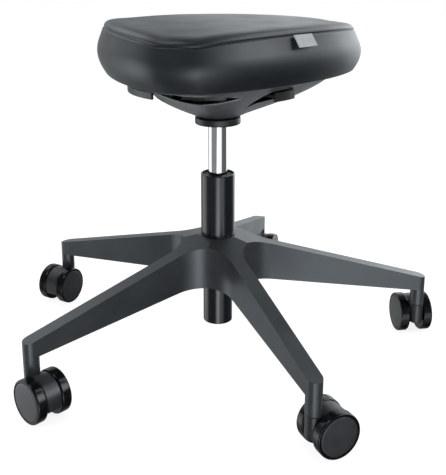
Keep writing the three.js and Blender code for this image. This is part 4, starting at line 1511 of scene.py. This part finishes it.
    def build_label(self) -> None:
        """Makes the bare flag label that hangs from the seam."""
        made = bmesh.new()
        bmesh.ops.create_grid(made, x_segments=24, y_segments=14, size=0.5)
        maps = made.loops.layers.uv.new("weave_uv")
        for face in made.faces:
            for loop in face.loops:
                loop[maps].uv = (loop.vert.co.x + 0.5, loop.vert.co.y + 0.5)
        for vertex in made.verts:
            across, down = vertex.co.x, 0.5 - vertex.co.y
            curl = 0.5 * math.sin(math.pi * (across + 0.5)) * down - 0.8 * down * down * across
            vertex.co = Vector((across * self.label_width, curl, -down * self.label_height))
        bmesh.ops.recalc_face_normals(made, faces=made.faces)
        bmesh.ops.solidify(made, geom=made.faces, thickness=self.label_thickness)
        support = self.cushion.outline.point(self.label_azimuth, self.label_offset)
        made.transform(
            shift(support.x, support.y, self.cushion.seam + self.label_over_seam)
            @ turning(self.label_azimuth) @ turning(-self.label_lean, "X")
        )
        bmesh.ops.recalc_face_normals(made, faces=made.faces)
        label = piece(made, "label", "seat", "label_cloth", smooth_degrees=60, weighted=False)

    def build(self) -> None:
        """Makes every piece of the seat."""
        self.cushion.build()
        self.build_pan()
        self.build_housing()
        self.build_lever()
        self.build_label()


@dataclass
class Castors:
    """Five twin-wheel castors, each a hooded body and two wheels with satin covers."""

    arms: StarBase
    trails: tuple[float, ...] = (20.0, 352.5, 64.0, 133.7, 208.7)
    trail: float = 21.4
    wheel_radius: float = 29.6
    wheel_width: float = 13.8
    wheel_offset: float = 17.85
    axle_bore: float = 3.25
    cap_radius: float = 25.4
    nose_radius: float = 10.4
    nose_low: float = 22.0
    nose_high: float = 52.7
    collar_bore: float = 7.3
    stem_bore: float = 5.3
    stem_foot: float = 29.7
    hood_radius: float = 28.0
    hood_thickness: float = 3.0
    hood_half_width: float = 10.1
    hood_start: float = -22.0
    hood_turn: float = 150.0
    post_gap_radius: float = 11.1
    boss_radius: float = 8.5
    web_radius: float = 26.0
    web_start: float = -20.0
    web_turn: float = 132.0
    web_thickness: float = 8.0
    bridge_height: float = 20.0
    bridge_middle: float = 34.0

    def wheel(self) -> Mesh:
        """Makes one wheel along Z, with its outer face up.

        Returns:
            The wheel.
        """
        half, recess = self.wheel_width / 2, self.cap_radius + 0.3
        return turned([
            (self.axle_bore, -half, 0), (self.wheel_radius, -half, 2.6),
            (self.wheel_radius, half, 2.6), (recess, half, 0.4), (recess, half - 3.4, 0),
            (self.axle_bore, half - 3.4, 0), (self.axle_bore, -half + 1, 0),
        ], 80, 6)

    def cap(self) -> Mesh:
        """Makes the satin cover of one wheel along Z, with its outer face up.

        Returns:
            The cover.
        """
        low = self.wheel_width / 2 - 3.1
        return turned([
            (0, low, 0), (self.cap_radius, low, 0), (self.cap_radius, low + 2.8, 0.5),
            (23.2, low + 3.25, 1.0), (12.0, low + 3.6, 3.0), (0, low + 3.7, 0),
        ], 80)

    def hood(self) -> Mesh:
        """Makes the hood, an arched band over the wheels that is cut clear of the post.

        Returns:
            The hood.
        """
        made = bmesh.new()
        middle = self.hood_radius - self.hood_thickness / 2
        section = (self.hood_half_width * 2, self.hood_thickness, 1.0, 1.0)
        bmesh.ops.create_grid(
            made, x_segments=1, y_segments=1, size=0.5, matrix=Matrix.Diagonal(section)
        )
        axle = shift(0, self.trail, self.wheel_radius)
        made.transform(axle @ turning(self.hood_start, "X") @ shift(0, middle, 0))
        bmesh.ops.spin(
            made, geom=everything(made), cent=(0, self.trail, self.wheel_radius),
            axis=(1, 0, 0), angle=math.radians(self.hood_turn), steps=48,
        )
        bmesh.ops.remove_doubles(made, verts=made.verts, dist=0.001)
        bmesh.ops.holes_fill(made, edges=made.edges)
        bmesh.ops.recalc_face_normals(made, faces=made.faces)
        made = cut(made, [rod(self.post_gap_radius, 40, 48, shift(0, 0, self.nose_high + 20))])
        bevelled(made, 0.9, least_degrees=40)
        return made

    def web(self) -> Mesh:
        """Makes the flat web between the wheels, a sector about the axle.

        Returns:
            The web.
        """
        made = bmesh.new()
        start = math.radians(self.web_start)
        inner = made.verts.new((0, self.trail, self.wheel_radius))
        tip = made.verts.new((
            0,
            self.trail + self.web_radius * math.cos(start),
            self.wheel_radius + self.web_radius * math.sin(start),
        ))
        made.edges.new((inner, tip))
        bmesh.ops.spin(
            made, geom=everything(made), cent=inner.co.copy(), axis=(1, 0, 0),
            angle=math.radians(self.web_turn), steps=28,
        )
        bmesh.ops.remove_doubles(made, verts=made.verts, dist=0.001)
        run_out(made, (self.web_thickness, 0, 0))
        bmesh.ops.translate(made, verts=made.verts, vec=(-self.web_thickness / 2, 0, 0))
        bmesh.ops.recalc_face_normals(made, faces=made.faces)
        return made

    def body(self) -> Mesh:
        """Makes the castor's body: nose, hood, boss, web and the bridge between nose and web.

        Returns:
            The body.
        """
        made = turned([
            (0, self.nose_low, 0), (self.nose_radius, self.nose_low, 2.6),
            (self.nose_radius, self.nose_high, 0.8), (self.collar_bore, self.nose_high, 0.3),
            (self.collar_bore, self.nose_high - 2.0, 0), (self.stem_bore, self.nose_high - 2.0, 0),
            (self.stem_bore, self.stem_foot, 0), (0, self.stem_foot, 0),
        ], 48)
        added(made, self.hood())
        across = shift(0, self.trail, self.wheel_radius) @ turning(90, "Y")
        boss = rod(self.boss_radius, self.hood_half_width * 2, 40, across)
        bevelled(boss, 0.6, least_degrees=60)
        added(made, boss)
        added(made, self.web())
        size = (self.web_thickness, self.trail, self.bridge_height)
        added(made, block(size, 0.6, shift(0, self.trail / 2, self.bridge_middle)))
        return made

    def build(self) -> None:
        """Makes the five castors."""
        body = self.body()
        kinds = (("wheel", self.wheel(), "tread"), ("cap", self.cap(), "wheel_cap"))
        for index, trail in enumerate(self.trails):
            post = compass(self.arms.first_arm + ARM_STEP * index, self.arms.post_centre)
            move = Matrix.Translation(post) @ turning(-trail)
            name = f"castor_{index + 1}"
            part = bmesh.new()
            added(part, body.copy(), move)
            piece(part, f"{name}_body", name, "hood_grey", smooth_degrees=45)
            for side in Side:
                on_axle = (
                    move @ shift(side.value * self.wheel_offset, self.trail, self.wheel_radius)
                    @ turning(side.value * 90, "Y")
                )
                word = side.name.lower()
                for kind, shape, slot in kinds:
                    part = bmesh.new()
                    added(part, shape.copy(), on_axle)
                    rides = f"{name}_roller_{word}"
                    piece(part, f"{name}_{kind}_{word}", rides, slot, smooth_degrees=60)


def dress_solids() -> None:
    """Gives each CAD node the finish of its material slot."""
    slots = {part["node"]: part["material_slot"] for part in frame["record"]["subparts"]}
    for name, node in frame["nodes"].items():
        node.data.materials.clear()
        node.data.materials.append(FINISHES[slots[name]].material())
    LOG.info("finishes given to %d nodes", len(slots))


# Studio


@dataclass
class Studio:
    """A white floor and room, soft lamps, and the camera of the photograph."""

    camera_height: float = 0.56707
    camera_distance: float = 1.10049
    pitch_degrees: float = 13.76
    focal_px: float = 776.94
    centre_px: Point = (217.83, 152.36)
    frame_px: Point = (446.0, 475.0)
    room_level: float = 0.5
    panel_level: float = 1.1
    floor_glow_share: float = 0.7
    floor_glow: float = 1.21
    # What shiny surfaces see level and below, once round from behind the stool
    around: tuple[tuple[float, str], ...] = (
        (0.0, "d0d0d0"), (0.13, "a0a0a0"), (0.165, "ffffff"), (0.26, "ffffff"), (0.29, "949494"),
        (0.47, "949494"), (0.51, "ffffff"), (0.61, "ffffff"), (0.65, "6c6c6c"), (0.85, "666666"),
        (0.89, "c8c8c8"), (1.0, "d0d0d0"),
    )
    # The softboxes are brighter than white, which a colour ramp cannot hold
    softbox_gain: Span = (0.7, 1.0, 1.0, 1.8)
    # Low surfaces see the shaded floor under the stool, and sloping ones the white floor behind it
    floor_shade: Span = (-0.48, -0.4, 0.35, 1.0)
    far_floor: Span = (0.5, 0.8, 0.0, 1.0)
    horizon: Span = (-0.02, 0.12, 0.0, 1.0)
    backdrop_depth: Span = (-0.3, 0.7, 0.18, 1.0)
    backdrop_height: Span = (0.35, 0.8, 1.5, 0.3)
    backdrop_side: Span = (-0.12, 0.05, 0.35, 1.0)
    # Soft glows in reflections: direction, cosine of their reach, and level
    glows: tuple[tuple[tuple[float, float, float], float, float], ...] = (
        ((1.5, -0.5, 0.75), 0.93, 5.0), ((1.2, 1.3, 0.15), 0.88, 2.2),
        ((-0.6, 0.57, 0.54), 0.9, 1.6), ((-0.5, -0.2, 1.0), 0.975, 8.0),
        ((0.64, 0.27, 0.69), 0.95, 4.0), ((0.0, -0.92, -0.42), 0.95, 3.5),
    )
    tint: tuple[float, float, float] = (0.93, 0.98, 1.0)
    # Name, place and size in metres, and watts
    lamps: tuple[tuple[str, tuple[float, float, float], Point, float], ...] = (
        ("left_softbox", (-1.7, -1.3, 1.3), (0.9, 1.4), 24),
        ("right_softbox", (1.9, -0.9, 1.2), (0.8, 1.4), 20),
        ("top_softbox", (0.1, 0.5, 2.4), (1.8, 1.6), 30),
    )
    aim_height: float = 0.3

    def camera(self) -> None:
        """Places the camera that the column, the arm tips and the castors were solved for."""
        data = bpy.data.cameras.new("photo_camera")
        camera = bpy.data.objects.new("photo_camera", data)
        bpy.context.scene.collection.objects.link(camera)
        axis = column_axis()
        camera.location = (axis.x, axis.y - self.camera_distance, self.camera_height)
        camera.rotation_euler = Euler((math.radians(90 - self.pitch_degrees), 0, 0))
        width, height = self.frame_px
        data.sensor_width = 36.0
        data.lens = self.focal_px / height * data.sensor_width
        data.shift_x = (width / 2 - self.centre_px[0]) / height
        data.shift_y = (self.centre_px[1] - height / 2) / height
        data.clip_start, data.clip_end = 0.05, 60.0
        bpy.context.scene.camera = camera

    def panels(self, nodes: Nodes) -> Socket:
        """Returns what shiny surfaces see: softboxes, grey sides and the white background.

        Args:
            nodes: The world's nodes.

        Returns:
            The colour for a direction.
        """
        direction = nodes.add("TexCoord").outputs["Generated"]
        x, y, z = nodes.add("SeparateXYZ", {0: direction}).outputs
        angle = nodes.calc("ARCTAN2", x, nodes.calc("MULTIPLY", y, -1.0))
        turn = nodes.calc("MULTIPLY_ADD", angle, 0.5 / math.pi, 0.5)
        around = nodes.ramp(turn, self.around)
        gain = nodes.span(around, self.softbox_gain)
        strong = nodes.vector("SCALE", {0: around, "Scale": gain}).outputs[0]
        shade, far = nodes.span(z, self.floor_shade), nodes.span(y, self.far_floor)
        open_floor = nodes.calc("MAXIMUM", shade, far)
        below = nodes.vector("SCALE", {0: strong, "Scale": open_floor}).outputs[0]
        depth, height = nodes.span(y, self.backdrop_depth), nodes.span(z, self.backdrop_height)
        backdrop = nodes.calc("MULTIPLY", depth, height)
        upper = nodes.calc("MULTIPLY", backdrop, nodes.span(x, self.backdrop_side))
        lit = nodes.mix(nodes.span(z, self.horizon), below, upper)
        for place, reach, level in self.glows:
            across = nodes.vector("DOT_PRODUCT", {0: direction, 1: Vector(place).normalized()})
            span = (reach, 1.0, 0.0, level)
            near = nodes.span(across.outputs["Value"], span, interpolation_type="SMOOTHSTEP")
            lit = nodes.mix(1.0, lit, near, blend_type="ADD")
        return nodes.vector("MULTIPLY", {0: lit, 1: self.tint}).outputs[0]

    def room(self) -> None:
        """Makes a world white to the camera, with panels for reflections and plain elsewhere."""
        world = bpy.data.worlds.new("studio_room")
        bpy.context.scene.world = world
        world.use_nodes = True
        nodes = Nodes(world.node_tree)
        path = nodes.add("LightPath").outputs
        seen = nodes.calc("MAXIMUM", path["Is Camera Ray"], path["Is Transmission Ray"])
        light = nodes.lit("Background", linear("ffffff"), self.room_level)
        shine = nodes.lit("Background", self.panels(nodes), self.panel_level)
        white = nodes.lit("Background", linear("ffffff"), 1.0)
        unseen = nodes.either(path["Is Glossy Ray"], light, shine)
        nodes.add("OutputWorld", {"Surface": nodes.either(seen, unseen, white)})

    def floor(self) -> None:
        """Lays a plain pale floor that keeps the soft shadow of the stool."""
        made = bmesh.new()
        bmesh.ops.create_grid(made, x_segments=1, y_segments=1, size=12.0)
        floor = placed(made, "studio_floor")
        material = bpy.data.materials.new("pale_studio_floor")
        material.use_nodes = True
        nodes = Nodes(material.node_tree)
        plain = nodes.add("BsdfDiffuse", {"Color": linear("ffffff")}).outputs[0]
        path = nodes.add("LightPath").outputs
        share = nodes.calc("MULTIPLY", path["Is Camera Ray"], self.floor_glow_share)
        glow = nodes.lit("Emission", linear("ffffff"), self.floor_glow)
        # Shiny surfaces look through the floor, so that the panels show in the upright ones too
        clear = nodes.add("BsdfTransparent").outputs[0]
        mixed = nodes.either(path["Is Glossy Ray"], nodes.either(share, plain, glow), clear)
        nodes.add("OutputMaterial", {"Surface": mixed})
        floor.data.materials.append(material)

    def build(self) -> None:
        """Sets the stage, the camera and the soft lamps, which shiny surfaces don't show."""
        self.camera()
        self.room()
        self.floor()
        for name, place, size, watts in self.lamps:
            data = bpy.data.lights.new(name, "AREA")
            data.shape = "RECTANGLE"
            data.size, data.size_y = size
            data.energy = watts
            lamp = bpy.data.objects.new(name, data)
            bpy.context.scene.collection.objects.link(lamp)
            lamp.location = place
            lamp.visible_glossy = False
            aim = Vector((0, 0, self.aim_height)) - Vector(place)
            lamp.rotation_euler = aim.to_track_quat("-Z", "Y").to_euler()
        bpy.context.scene.view_settings.view_transform = "Standard"


def main() -> None:
    """Builds the stool's looks in order."""
    logging.basicConfig(level=logging.INFO, format="%(name)s %(message)s")
    Studio().build()
    dress_solids()
    base = StarBase()
    base.build()
    GasColumn().build()
    Castors(base).build()
    Seat().build()


if __name__ == "__main__":
    main()
